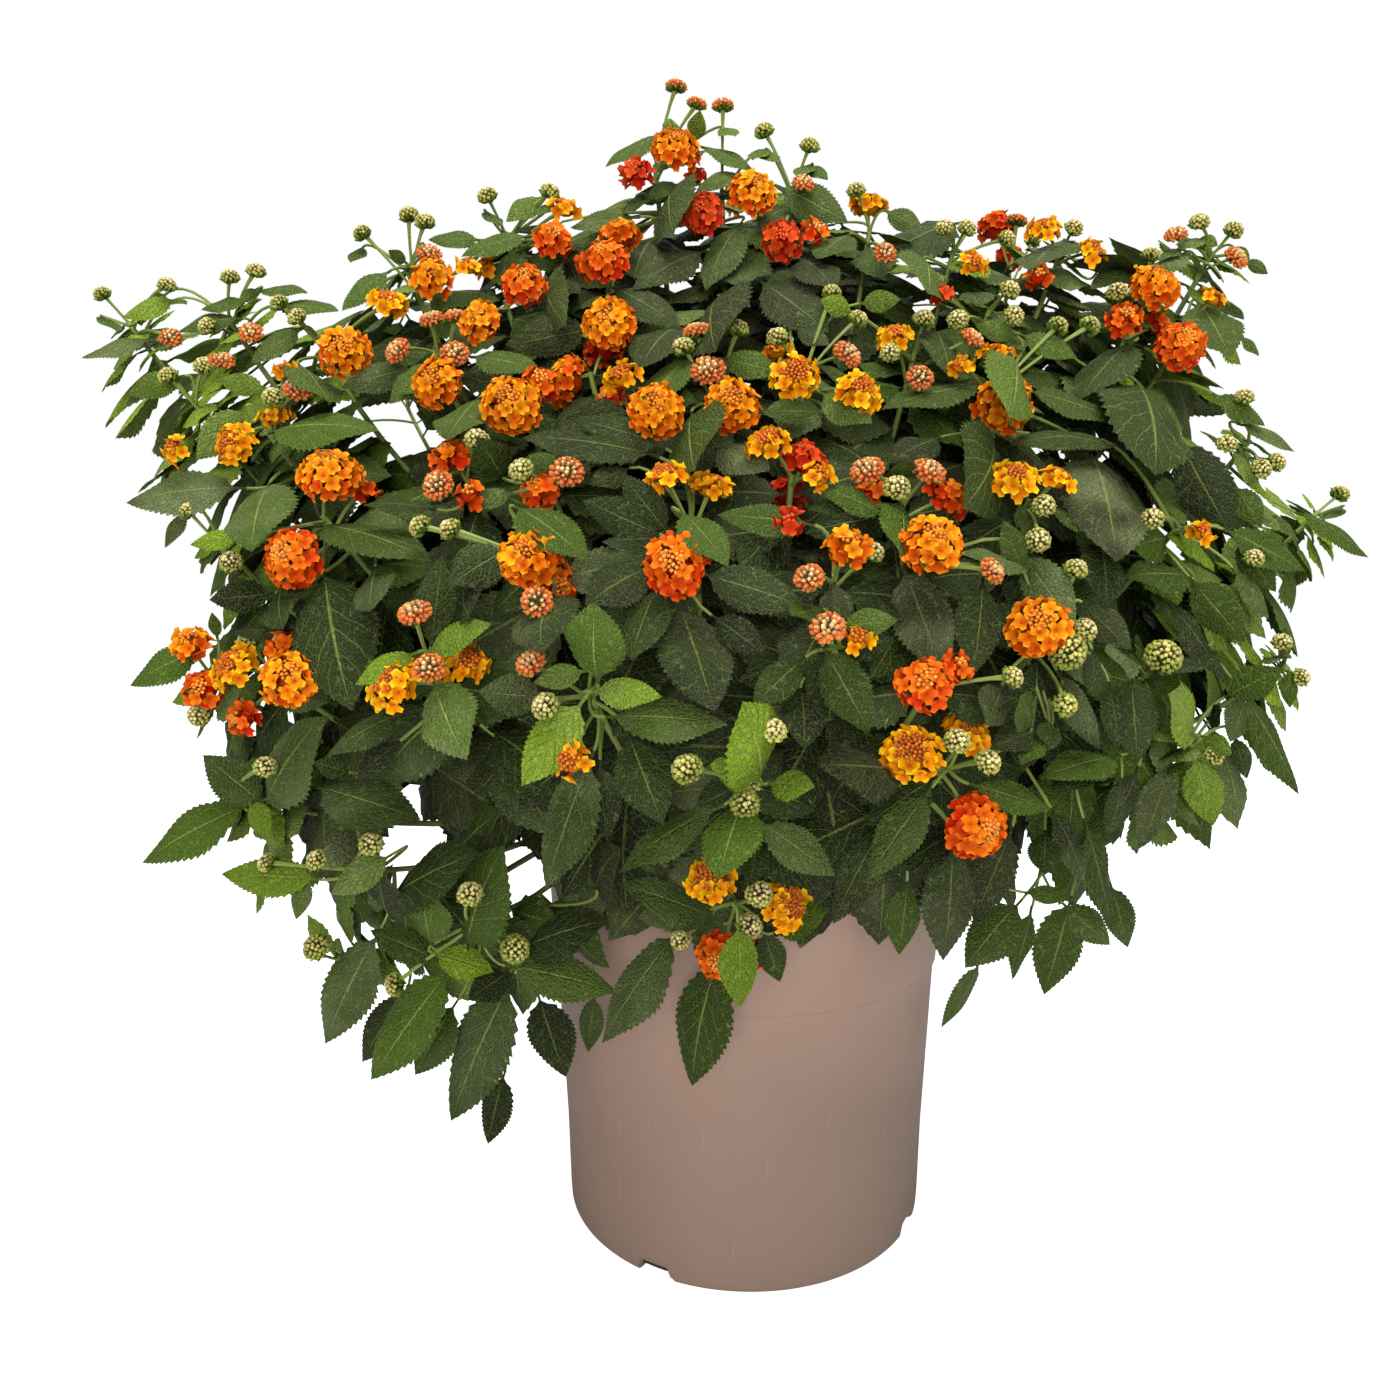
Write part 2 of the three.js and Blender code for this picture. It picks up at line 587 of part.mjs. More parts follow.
// The opposite pairs down a shoot, each turned a quarter from the last, drooping more with age.
function pairedLeaves(shoot) {
  const length = stemLength(shoot.stem);
  const pairs = shoot.ownSpray ? leafPairs : [...budShootPairs, ...leafPairs.slice(1)];
  return pairs
    .filter(({ below }) => below < length - leafRoom)
    .flatMap((pair, i) => {
      return [0, 1].map((k) => {
        const { point: root, way: along } = onStem(shoot.stem, pair.below + pairStep * k);
        const [a, b] = squareTo(along);
        const turn = Math.PI * (i / 2 + k + 0.25) + 0.4 * (draw(shoot.index, 21 + 2 * i + k) - 0.5);
        const out = a.clone().multiplyScalar(Math.cos(turn)).addScaledVector(b, Math.sin(turn));
        const axis = out.addScaledVector(along, 0.45 - 0.1 * i).normalize();
        const side = vec(0, 0, 0).crossVectors(along, axis).normalize();
        const grow = 0.88 + 0.24 * draw(shoot.index, 30 + 2 * i + k);
        return {
          root,
          axis,
          side,
          length: pair.length * grow,
          width: pair.width,
          blade: smallBlade,
          droop: 0.1 + 0.09 * i + 0.15 * draw(shoot.index, 35 + 2 * i + k),
          fold: 0.12,
        };
      });
    });
}

// A hanging leaf of the lower edge, stalked from the nearest shoot.
function edgeLeaf([x0, y0, x1, y1], shoots) {
  const base = onSight(x0, y0, faceDepth(x0, y0) - 6);
  const end = onSight(x1, y1, faceDepth(x1, y1) - 2);
  let best = { gap: Infinity };
  for (const shoot of shoots)
    for (let below = stalk.rachis + 4; below < stemLength(shoot.stem) - leafRoom; below += 6) {
      const root = onStem(shoot.stem, below).point;
      const gap = root.distanceTo(base);
      if (gap < best.gap) best = { gap, root, shoot };
    }
  const axis = end.clone().sub(best.root);
  const length = axis.length();
  axis.normalize();
  const away = best.root.clone().sub(heart).setZ(0).normalize().addScaledVector(up, 0.6);
  const side = vec(0, 0, 0).crossVectors(away, axis).normalize();
  const span = base.distanceTo(end);
  return {
    shoot: best.shoot,
    root: best.root,
    axis,
    side,
    length,
    width: (edgeLeafWidth * span) / length,
    blade: largeBlade,
    droop: 0,
    fold: 0.12,
    stalkShare: Math.max(petiole.share, 1 - span / length),
  };
}

// ---- assembly ----

// Pieces already placed, to keep a new leaf clear of all but the stem that it grows from.
const placed = [];

function boxesMeet(p, q) {
  return [0, 1, 2].every((k) => p.min[k] - clear < q.max[k] && q.min[k] - clear < p.max[k]);
}

function place(solid, owner) {
  placed.push({ solid, owner, box: solid.boundingBox() });
}

function isClear(solid, owner) {
  const box = solid.boundingBox();
  return placed.every((p) => p.owner === owner || !boxesMeet(p.box, box) || p.solid.minGap(solid, 1) > clear);
}

// Joins solids into one body, without the slivers and loose scraps that the joining leaves.
function fuse(solids) {
  const whole = wasm.Manifold.union(solids).simplify(sliver);
  return whole.decompose().sort((p, q) => q.volume() - p.volume())[0];
}

const shoots = layShoots();
const branches = layBranches();
for (const branch of branches) {
  branch.line = layTrunk(branch);
  branch.solids = [makeTrunk(branch.line)];
  branch.shoots = shoots.filter((shoot) => branchOf(shoot, branches) === branch);
  branch.shoots.forEach((shoot, i) => {
    shoot.branch = branch;
    const upTrunk = forkStretch[1] - ((forkStretch[1] - forkStretch[0]) * i) / branch.shoots.length;
    shoot.stem = layStem(shoot, branch.line.at(-2).clone().lerp(branch.line.at(-1), upTrunk));
    const stem = makeShootStem(shoot);
    const heads = makeHeads(shoot);
    if (shoot.ownSpray) shoot.spray = fuse([makeRachis(shoot), ...heads]);
    branch.solids.push(stem, ...(shoot.ownSpray ? [] : heads));
    place(stem, `stem ${shoot.index}`);
    if (shoot.spray) place(shoot.spray, `spray ${shoot.index}`);
    else heads.forEach((head) => place(head, `stem ${shoot.index}`));
  });
  place(branch.solids[0], branch.name);
}

const potSolid = makePot();
const soilSolid = makeSoil(branches);
place(potSolid, "pot");
place(soilSolid, "soil");

// Leaves in the order of their claim to room: the hanging ones, then pair by pair over all shoots alike.
const claim = (shoot, i) => pairOrder.indexOf(i >> 1) + draw(shoot.index, 60 + i);
const paired = shoots
  .flatMap((shoot) => pairedLeaves(shoot).map((made, i) => ({ ...made, shoot, claim: claim(shoot, i) })))
  .sort((p, q) => p.claim - q.claim);
const blades = [...edgeLeaves.map((ends) => edgeLeaf(ends, shoots)), ...paired];
let leaves = 0;
for (const blade of blades) {
  if (leaves >= mostLeaves) break;
  const solid = leaf(blade);
  if (!isClear(solid, `stem ${blade.shoot.index}`)) continue;
  place(solid, `leaf ${leaves}`);
  blade.shoot.branch.solids.push(solid);
  leaves++;
}

const lantana = new THREE.Group();
lantana.add(meshOf("pot", potSolid, colours.pot, 0.55));
lantana.add(meshOf("soil", soilSolid, colours.soil, 0.95));
branches.forEach((branch, i) => {
  lantana.add(meshOf(branch.name, fuse(branch.solids), colours.foliage[i % 3], 0.6));
});
let sprays = 0;
for (const shoot of shoots)
  if (shoot.spray) lantana.add(meshOf(`flower_spray_${++sprays}`, shoot.spray, colours[shoot.tone], 0.6));

export default lantana;
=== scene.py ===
# Lantana in its plastic pot: leaves, stems, heads of flowers, pot and soil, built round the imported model.
import math

import bpy
import numpy as np
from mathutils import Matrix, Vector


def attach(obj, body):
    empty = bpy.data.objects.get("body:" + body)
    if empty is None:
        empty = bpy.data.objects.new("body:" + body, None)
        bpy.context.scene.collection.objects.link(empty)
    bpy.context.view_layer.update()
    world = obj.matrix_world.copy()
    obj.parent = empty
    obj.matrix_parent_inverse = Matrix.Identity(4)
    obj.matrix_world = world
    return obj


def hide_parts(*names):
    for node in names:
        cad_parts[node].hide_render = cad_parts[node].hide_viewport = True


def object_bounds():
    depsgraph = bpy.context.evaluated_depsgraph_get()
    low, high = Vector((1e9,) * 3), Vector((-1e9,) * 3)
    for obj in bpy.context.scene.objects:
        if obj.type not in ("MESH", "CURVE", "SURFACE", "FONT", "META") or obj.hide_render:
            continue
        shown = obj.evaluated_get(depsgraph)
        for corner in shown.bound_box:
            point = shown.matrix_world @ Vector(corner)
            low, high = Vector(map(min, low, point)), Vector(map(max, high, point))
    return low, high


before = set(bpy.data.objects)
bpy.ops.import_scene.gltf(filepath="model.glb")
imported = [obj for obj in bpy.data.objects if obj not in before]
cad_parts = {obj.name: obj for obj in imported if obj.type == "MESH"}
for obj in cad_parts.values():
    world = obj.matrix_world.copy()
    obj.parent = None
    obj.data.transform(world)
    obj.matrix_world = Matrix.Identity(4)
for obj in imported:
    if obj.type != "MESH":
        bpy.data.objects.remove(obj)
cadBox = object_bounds()
millimetre = 0.001
print("frame loaded:", len(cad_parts), "nodes")

# The layout of the bush, in millimetres, by the same rules as the solids.
pot = {"height": 248, "rimRadius": 140, "baseRadius": 127, "wall": 3, "floor": 4, "edge": 5,
       "collarHeight": 185, "collarStep": 1.4, "notchCount": 4, "notchFirst": 241, "notchWidth": 26,
       "notchHeight": 10}
soil = {"top": 222, "mound": 5, "holeDepth": 42, "holeGap": 0.3}
eye = {"x": -32, "y": -711, "z": 432, "tilt": 5.7, "centre": 700, "scale": 1000}
face = {"depth": 290, "down": 680, "spreadDown": 420, "across": 715, "halfAcross": 640, "leastSquare": 0.04}
heart = np.array([0.0, 0.0, 280.0])
shootLift = {"level": 250, "over": 300, "most": 0.45, "least": -0.4}  # shoots rise above the level, and droop below
forkStretch = (0.05, 0.96)  # where the first and the last shoot leave the end of a branch
tipSink = 34  # how far behind the face the tips stand
rings = [
    {"name": "crown", "count": 5, "first": 21, "lift": 60, "hole": 30, "reach": 150},
    {"name": "skirt", "count": 8, "first": 22.5, "lift": 14, "hole": 82, "reach": 120},
]
wood = {"rootRadius": 4.6, "forkRadius": 3.2, "upright": 30, "arrive": 42, "steps": 13, "sides": 9,
        "knots": (0.05, 2.1)}
green = {"forkRadius": 2.3, "tipRadius": 1.6, "steps": 12, "sides": 7, "bend": 0.4}
rachis = {"length": 30, "topBelow": 1.5, "step": 4.4}
dome = {"x": 425, "y": 305, "z": 318, "centreY": 18, "centreZ": 428, "count": 34, "lowest": -0.3, "highest": 0.985,
        "spread": (0.93, 0.12), "frontLimit": 95, "tones": "yyor", "heads": ("*32", "b12", "*27", "c15"),
        "headOut": (25, 6, 25, 25), "headAhead": (27, 8)}
goldenTurn = math.pi * (3 - math.sqrt(5))
aboutTurn, fullTurn, halfTurn = 6.3, 6.28, 3.1  # turns for random draws, in radians
sprayLeast = 25  # a shoot with a head this wide has a spray of its own
up = np.array([0.0, 0.0, 1.0])
uprightFrom = 0.9  # a direction that rises or falls by more than this share of its length counts as upright

# A shoot: tip across and down, then its heads as kind and diameter, across, down, the nearest first.
# b bud, g large green bud, c closed coral head, y young yellow ring, f full yellow, o orange and r red bloom.
faceShoots = """
128 322 | b11 102 294 | b11 167 285 | c13 171 338
228 318 | b11 230 277 | b11 256 271 | c13 251 333 | b11 207 326
315 335 | f33 346 354 | b11 297 317 | b11 279 303 | y26 387 305
190 398 | c14 222 361 | b12 204 366 | b12 168 376 | y20 176 450
405 265 | f27 433 280 | c14 429 254 | b12 425 222 | b12 409 215 | b11 362 233 | y18 468 268
262 425 | y28 236 446 | c16 298 391 | b12 273 397 | y22 275 418 | y18 285 372
322 515 | f36 331 478 | o35 294 559 | o20 362 492
432 350 | c15 398 351 | c15 455 354 | f30 438 384 | c14 432 320 | c13 456 317
215 540 | b11 188 511 | b12 231 562
205 672 | o24 205 691 | f24 192 646 | b13 199 715
262 668 | f34 291 679 | y30 236 668 | b13 250 640 | o22 245 717 | o20 282 646
430 672 | c16 429 668 | c17 415 613 | y34 394 685 | y28 466 666
505 232 | b12 487 196 | b12 550 192 | o26 552 241 | y22 564 210 | y20 486 268
505 300 | o30 524 287 | f27 481 323
608 290 | f33 610 325 | o34 604 265 | f28 619 238
512 378 | f34 512 406 | o24 539 384
590 372 | f33 570 383 | o26 603 352
462 470 | c16 438 486 | b13 477 440 | o24 451 458 | o18 470 495
548 480 | c17 567 472 | b13 521 470 | o24 540 492
545 560 | c16 537 602 | f36 530 560 | o26 556 583
640 392 | f32 656 412 | y22 622 378 | o22 611 402
712 385 | c18 708 371 | c15 697 332 | b12 683 347 | b12 738 329 | f32 731 407
805 370 | c16 847 355 | b12 777 337 | y30 795 378 | y28 858 394 | y20 777 353
792 475 | y26 768 444 | y20 818 477 | r27 804 462 | r26 787 495 | r18 789 522
690 520 | o38 676 566 | y27 666 479 | y28 711 489
655 165 | c13 676 87 | c12 697 104 | f34 676 152 | r24 637 175
722 190 | c13 723 106 | f33 752 195 | r30 703 216 | r18 695 180
792 190 | b12 764 131 | b12 810 146 | c13 803 184 | r28 781 242 | o18 815 232
870 228 | b11 856 190 | y28 868 208 | c13 885 253
955 245 | b11 944 228 | b11 967 228 | b11 1007 239 | y20 972 265
1062 250 | b11 1074 228 | y24 1044 231 | y22 1090 253 | o18 1038 278
990 308 | b12 1010 290 | b12 1014 316 | b12 958 320 | r14 942 296
915 352 | b12 924 319 | b11 890 353 | c14 920 378 | c14 972 339 | y24 895 339
998 385 | f34 1004 404 | y24 997 356 | y16 961 367
1143 305 | b12 1117 292 | b11 1151 255 | f34 1154 290 | y22 1131 278 | o24 1124 321 | o22 1156 326
1185 330 | o32 1180 346 | y20 1211 299
1212 252 | b12 1199 222 | c13 1176 235 | b12 1234 230 | c15 1236 258
905 498 | c17 867 471 | c17 929 472 | b14 897 488 | o26 946 499 | o22 872 492
925 562 | f36 931 546
835 575 | f26 848 549 | c15 809 578 | b12 873 552
1030 500 | b12 1044 506 | b13 1038 540 | y28 1012 481 | y22 1056 480
1062 620 | f36 1038 628 | g20 1067 651 | b13 1085 630 | b12 1076 569
1180 525 | b12 1152 519 | y18 1200 533
1250 440 | b11 1244 397 | b12 1261 469 | b11 1227 444 | b11 1277 462
1318 512 | b12 1340 494
1245 575 | b11 1254 558
1285 664 | b11 1282 642 | b11 1301 677
1150 672 | g19 1163 657
1190 750 | b11 1214 755
935 678 | o32 924 685 | o20 956 668 | b12 1013 677
952 765 | b14 957 741 | b14 988 762 | o40 973 826 | y38 912 755 | y30 966 734
742 778 | g16 745 804 | g17 687 769 | b14 774 731 | b11 752 783
735 905 | b15 759 894 | b14 749 926 | y34 785 906 | y30 711 881 | o30 722 956 | o18 760 954 | b11 680 940
588 690 | b13 601 636 | b15 545 706 | c16 531 663 | y26 572 760
842 648 | c18 828 628 | y22 858 640
470 925 | b14 470 894 | g16 515 949 | b14 395 984
352 872 | b13 371 844 | b12 317 860 | b11 267 862
335 960 | g16 317 947
235 795 | b12 265 767 | b12 197 822
"""

# Small heads that stand by themselves among the leaves.
looseHeads = ("b12 420 526 | b12 450 529 | g13 1065 705 | c14 992 571 | b11 858 319 | b11 832 293 | "
              "b12 1090 326 | b12 1058 326")

# Leaves of the face: where the blade starts and ends, across and down, how wide it shows, its age from 0 young to
# 100 old, and for some how much nearer they stand, and their tips besides.
faceLeaves = """
147 342 81 358 14 35 | 171 301 122 318 18 10 | 171 301 187 304 6 30 | 242 301 201 310 12 30 | 264 291 308 293 11 35
283 306 339 311 16 30 | 235 320 178 332 16 45 | 178 378 128 395 26 25 | 262 388 217 380 24 20
385 275 342 311 20 30 | 240 413 196 460 36 20 | 280 433 379 431 32 30 | 302 368 328 402 32 30
407 371 341 388 28 60 | 432 366 389 404 26 40 | 232 490 126 503 40 55 | 268 490 252 552 54 35
327 529 432 562 36 50 | 185 514 165 548 14 50 | 235 537 190 545 20 10 | 297 332 251 363 20 40
428 509 362 505 16 60 | 658 137 605 167 14 35 | 706 149 756 175 11 35 | 694 140 700 110 22 20
680 130 662 125 14 20 | 739 176 696 192 15 40 | 673 190 674 234 42 55 | 635 198 626 214 12 50
738 229 706 291 34 55 | 632 218 570 228 20 45 | 539 199 506 222 20 25 | 522 238 461 257 18 35
476 240 428 240 16 35 | 549 283 566 325 40 50 | 584 330 505 345 40 85 | 698 255 632 290 30 70
620 292 680 328 32 70 | 718 302 716 352 58 70 | 676 330 640 368 40 70 | 478 358 541 371 24 35
689 359 639 410 28 40 | 728 360 780 372 28 30 | 476 402 447 440 40 40 | 439 366 400 395 26 30
625 412 566 418 30 65 | 786 190 848 222 34 45 | 889 213 923 230 20 40 | 846 237 817 259 26 50
803 262 835 290 30 75 | 766 286 829 333 44 80 | 800 330 830 346 18 80 | 925 262 928 294 42 30
864 303 901 299 22 20 | 849 311 820 299 20 10 | 826 396 872 424 34 30 | 814 412 761 413 24 50
973 389 881 410 20 50 | 1012 361 1009 418 46 25 35 | 935 333 950 376 32 60 | 993 296 957 300 12 60
1060 243 1030 270 32 50 | 1012 335 975 325 20 30 | 1027 337 1077 358 22 30 | 1036 394 1125 425 20 50
1090 440 1010 445 16 60 | 1181 256 1140 289 22 35 | 1135 270 1090 289 20 50 | 1200 306 1230 357 44 45
1248 261 1268 274 12 30 | 1243 338 1259 356 9 40 | 1128 348 1080 400 40 60 | 1137 391 1155 475 70 60
1183 448 1233 538 52 85 | 1092 462 1116 562 72 90 | 1040 435 1118 447 16 60 | 1054 510 1109 540 16 50
1219 397 1265 426 20 35 | 1244 426 1295 452 12 35 | 1304 517 1369 558 14 35 | 1277 518 1298 541 8 40
1238 490 1262 527 26 40 | 1245 535 1295 560 26 40 | 199 652 130 686 32 30 | 217 636 212 612 12 40
267 594 209 600 40 80 | 283 590 283 629 38 60 | 327 583 352 711 84 65 | 375 571 370 612 36 60
290 631 228 633 16 70 | 410 656 355 685 26 15 | 415 712 325 757 28 60 | 272 799 325 716 50 50
258 800 203 755 46 55 | 240 799 219 759 26 35 | 242 810 142 863 44 30 | 251 806 271 835 24 20
309 879 221 874 42 20 | 306 881 296 920 20 30 | 325 790 421 820 54 60 | 345 771 314 762 24 60
395 745 358 775 28 90 | 350 831 330 870 38 85 | 385 859 331 895 34 25 | 391 913 380 861 36 85
374 943 325 1044 54 55 | 443 980 371 1080 58 30 | 400 1000 362 1062 40 65 | 452 1010 415 1075 46 50
507 992 451 1121 64 60 | 503 1080 488 1144 34 70 | 505 975 468 1000 40 75 | 471 938 505 845 58 45
398 895 480 853 52 60 | 431 939 421 878 38 35 | 431 957 370 930 34 55 | 440 955 494 972 34 10
519 969 617 992 46 30 | 530 946 610 920 50 65 | 541 1003 566 1077 48 90 | 594 1000 588 1052 26 60
588 768 546 889 56 60 | 600 886 620 848 38 80 | 711 813 618 873 36 45 | 742 806 718 885 58 30 10 16
767 827 836 876 44 45 | 757 843 750 887 32 65 | 711 919 618 884 42 50 | 672 942 602 1043 50 55
716 970 692 1086 60 55 | 738 933 740 1008 42 20 28 | 765 935 780 982 32 60 | 780 930 829 908 34 35
757 775 745 708 60 15 | 750 779 709 766 30 15 | 773 784 815 787 32 20 | 631 742 663 825 62 65
893 770 817 765 56 85 | 924 799 868 880 46 50 | 881 832 833 924 44 75 | 906 890 899 955 36 50
601 770 607 841 38 95 | 979 787 1052 810 32 40 | 951 853 943 961 54 85 | 1008 838 973 922 44 90
945 840 905 865 34 85 | 1015 908 965 968 50 50 | 976 968 941 1028 18 50 | 1030 915 1012 980 22 50
1068 908 1044 995 48 50 | 1068 908 1110 945 36 50 | 1112 890 1128 948 32 60 | 1087 832 1111 930 28 55
1055 817 1084 885 26 75 | 1045 835 1045 875 34 60 | 1030 893 1070 897 20 40 | 1166 773 1139 849 36 65
1135 775 1108 838 26 75 | 1196 764 1213 826 38 20 | 1200 790 1200 826 8 50 | 1233 534 1305 571 30 45
1240 545 1276 592 30 50 | 1237 574 1269 620 18 45 | 1184 578 1124 578 32 50 | 1100 545 1106 606 40 75
1196 585 1245 642 42 50 | 1172 608 1228 686 22 80 | 1088 608 1132 650 34 80 | 1200 650 1155 680 36 80
1135 665 1105 652 22 60 | 1092 655 1092 697 18 80 | 1132 685 1138 763 44 65 | 1110 695 1113 748 22 80
1062 680 1100 750 30 85 | 1112 758 1042 778 36 40 | 1190 730 1168 694 36 10 | 1190 735 1154 740 18 10
1187 748 1165 765 22 20 | 1185 762 1168 775 12 30 | 1205 738 1232 755 26 25 | 1243 702 1230 742 26 55
1236 740 1247 779 20 60 | 1231 694 1283 668 44 40 | 1285 660 1285 627 12 40 | 1288 675 1290 708 16 40
1247 702 1299 795 26 50 | 1210 720 1222 710 18 60 | 1095 775 1050 790 20 80 | 1120 785 1107 838 20 70
1110 690 1118 750 26 75 | 990 445 963 509 60 55 | 900 480 905 459 26 35 | 900 507 901 556 36 35
879 512 815 485 24 40 | 850 505 808 510 16 60 | 803 524 717 515 32 45 | 712 577 806 607 46 70
907 578 944 675 60 95 | 982 588 973 675 46 70 | 1026 560 1076 626 46 50 | 1021 565 1003 520 26 45
1026 569 958 553 16 45 | 846 625 898 620 30 30 | 820 610 790 615 26 50 | 799 663 752 707 38 60
829 657 870 732 50 55 | 801 695 805 750 44 90 | 845 650 895 640 32 70 | 1038 732 990 750 32 70
1040 740 1022 765 22 30 | 1030 725 1020 695 26 40 | 1047 722 1052 750 22 55 | 1000 690 985 725 34 80
935 440 890 462 30 80 | 500 473 478 437 46 55 | 520 470 558 455 20 40 | 643 455 522 438 34 75
655 445 575 420 32 80 | 692 418 695 471 58 50 | 522 512 587 560 46 40 14 | 508 494 466 505 20 35
685 518 728 567 38 35 24 | 664 528 621 473 36 65 | 650 530 583 500 40 65 | 625 470 590 485 24 85
500 553 448 585 46 65 | 432 636 442 556 40 60 | 434 650 492 624 28 20 | 437 689 467 760 60 30
552 600 540 655 58 70 | 640 572 585 605 48 75 | 655 595 631 661 46 60 | 597 675 590 602 60 30
580 672 533 683 26 25 | 600 692 662 697 32 15 | 577 709 521 786 52 10 | 620 718 728 725 44 40
682 615 715 713 72 85 | 718 620 765 655 36 90 | 538 697 478 692 44 65 | 720 450 770 470 36 75
465 590 470 620 32 90 | 103 318 118 332 12 30 | 165 295 150 308 12 30 | 256 290 240 302 12 35
405 262 388 250 14 35 | 425 245 436 258 12 30 | 362 248 350 262 12 35 | 487 212 500 226 12 30
550 205 538 216 12 30 | 764 150 752 160 12 25 | 764 152 778 162 12 25 | 810 165 796 176 12 25
810 168 828 180 12 30 | 723 128 736 136 12 20 | 1199 240 1180 250 14 25 | 1199 240 1218 246 14 25
1176 250 1160 262 12 30 | 1234 248 1250 262 12 30 | 1074 245 1060 256 12 30 | 1340 508 1322 520 12 30
1282 655 1268 664 12 30
"""


def draw(i, j):
    # a repeatable number from 0 to 1 for item i and its detail j
    s = math.sin(i * 12.9898 + j * 78.233 + 7.7) * 43758.5453
    return s - math.floor(s)


def within(span, share):
    # the least value, and a share of what may come on top of it
    return span[0] + span[1] * share


def unit(v):
    # a vector of length 1
    return v / np.linalg.norm(v)


def unitRows(v):
    # the same for a whole array of vectors
    return v / np.maximum(np.linalg.norm(v, axis=-1, keepdims=True), 1e-9)


def squareTo(direction):
    # two directions square to one and to each other
    helper = np.array([1.0, 0, 0]) if abs(direction[2]) > uprightFrom else up
    side = unit(np.cross(helper, direction))
    return side, np.cross(direction, side)


def onSight(across, down, y):
    # the point of the line of sight across and down that lies at depth y
    a, b = (across - eye["centre"]) / eye["scale"], (eye["centre"] - down) / eye["scale"]
    c, s = math.cos(math.radians(eye["tilt"])), math.sin(math.radians(eye["tilt"]))
    t = (y - eye["y"]) / (c + b * s)
    return np.array([eye["x"] + a * t, y, eye["z"] + (b * c - s) * t])


def toSight(points):
    # across and down of points: the reverse of onSight
    c, s = math.cos(math.radians(eye["tilt"])), math.sin(math.radians(eye["tilt"]))
    x, y, z = np.moveaxis(points - np.array([eye["x"], eye["y"], eye["z"]]), -1, 0)
    depth = y * c - z * s
    return eye["centre"] + eye["scale"] * x / depth, eye["centre"] - eye["scale"] * (y * s + z * c) / depth


def faceDepth(across, down):
    # how far forward the bush stands there: a bell over the height times an ellipse over the width
    rise = (down - face["down"]) / face["spreadDown"]
    aside = (across - face["across"]) / face["halfAcross"]
    return -face["depth"] * np.exp(-rise * rise) * np.sqrt(np.maximum(face["leastSquare"], 1 - aside * aside))


def readShoot(line):
    # a shoot of the face from its row: the heads stand on the face, the tip a little behind it
    tip, *heads = [part.split() for part in line.split(" | ")]
    across, down = map(float, tip)
    return {
        "tip": onSight(across, down, faceDepth(across, down) + tipSink),
        "heads": [
            {"kind": kind[0], "size": float(kind[1:]), "sight": (float(x), float(y)),
             "centre": onSight(float(x), float(y), faceDepth(float(x), float(y)))}
            for kind, x, y in heads
        ],
        "back": False,
    }


def shootDirection(tip):
    # away from the heart of the bush, lifted above a level and drooping below it
    away = unit(tip - heart)
    away[2] += min(shootLift["most"], max(shootLift["least"], (tip[2] - shootLift["level"]) / shootLift["over"]))
    return unit(away)


def domeShoot(index):
    # a shoot of the sides and back: golden angles over half an ellipsoid
    sine = dome["lowest"] + (dome["highest"] - dome["lowest"]) * (index + 0.5) / dome["count"]
    flat = math.sqrt(1 - sine * sine)
    turn = goldenTurn * index
    spread = within(dome["spread"], draw(index, 1))
    tip = np.array([
        dome["x"] * flat * math.cos(turn) * spread,
        dome["centreY"] + dome["y"] * flat * math.sin(turn) * spread,
        dome["centreZ"] + dome["z"] * sine * spread,
    ])
    if tip[1] < dome["frontLimit"]:
        return None
    direction = shootDirection(tip)
    a, b = squareTo(direction)
    tone = dome["tones"][math.floor(4 * draw(index, 2))]
    heads = []
    for k, kind in enumerate(dome["heads"][: 3 + index % 2]):
        kind = kind.replace("*", tone)
        angle = goldenTurn * k + aboutTurn * draw(index, 3)
        out = dome["headOut"][k]
        centre = (tip + direction * within(dome["headAhead"], draw(index, 4 + k)) + a * out * math.cos(angle)
                  + b * out * math.sin(angle))
        heads.append({"kind": kind[0], "size": float(kind[1:]), "centre": centre, "sight": None})
    return {"tip": tip, "heads": heads, "back": True}


def spreadHeads(shoots):
    # moves each head of the face back along its line of sight until it is clear of all heads before it
    placed = []
    for shoot in shoots:
        for head in shoot["heads"]:
            def close(h):
                return np.linalg.norm(h["centre"] - head["centre"]) < (h["size"] + head["size"]) / 2 + 0.5
            while head["sight"] and any(map(close, placed)):
                head["centre"] = onSight(*head["sight"], head["centre"][1] + 3)
            placed.append(head)


def layShoots():
    # the shoots of the face, then those of the back; of these only every second one with a large bloom has a
    # spray of its own
    front = [readShoot(line) for line in faceShoots.strip().split("\n")]
    back = [s for s in map(domeShoot, range(dome["count"])) if s]
    shoots = front + back
    spreadHeads(shoots)
    backBlooms = 0
    for i, shoot in enumerate(shoots):
        shoot["index"] = i
        shoot["direction"] = shootDirection(shoot["tip"])
        sizes = [h["size"] for h in shoot["heads"] if h["kind"] in "fyor"]
        shoot["inBloom"] = bool(sizes)
        large = bool(sizes) and max(sizes) >= sprayLeast
        shoot["ownSpray"] = large and (not shoot["back"] or backBlooms % 2 == 0)
        backBlooms += large and shoot["back"]
    return shoots


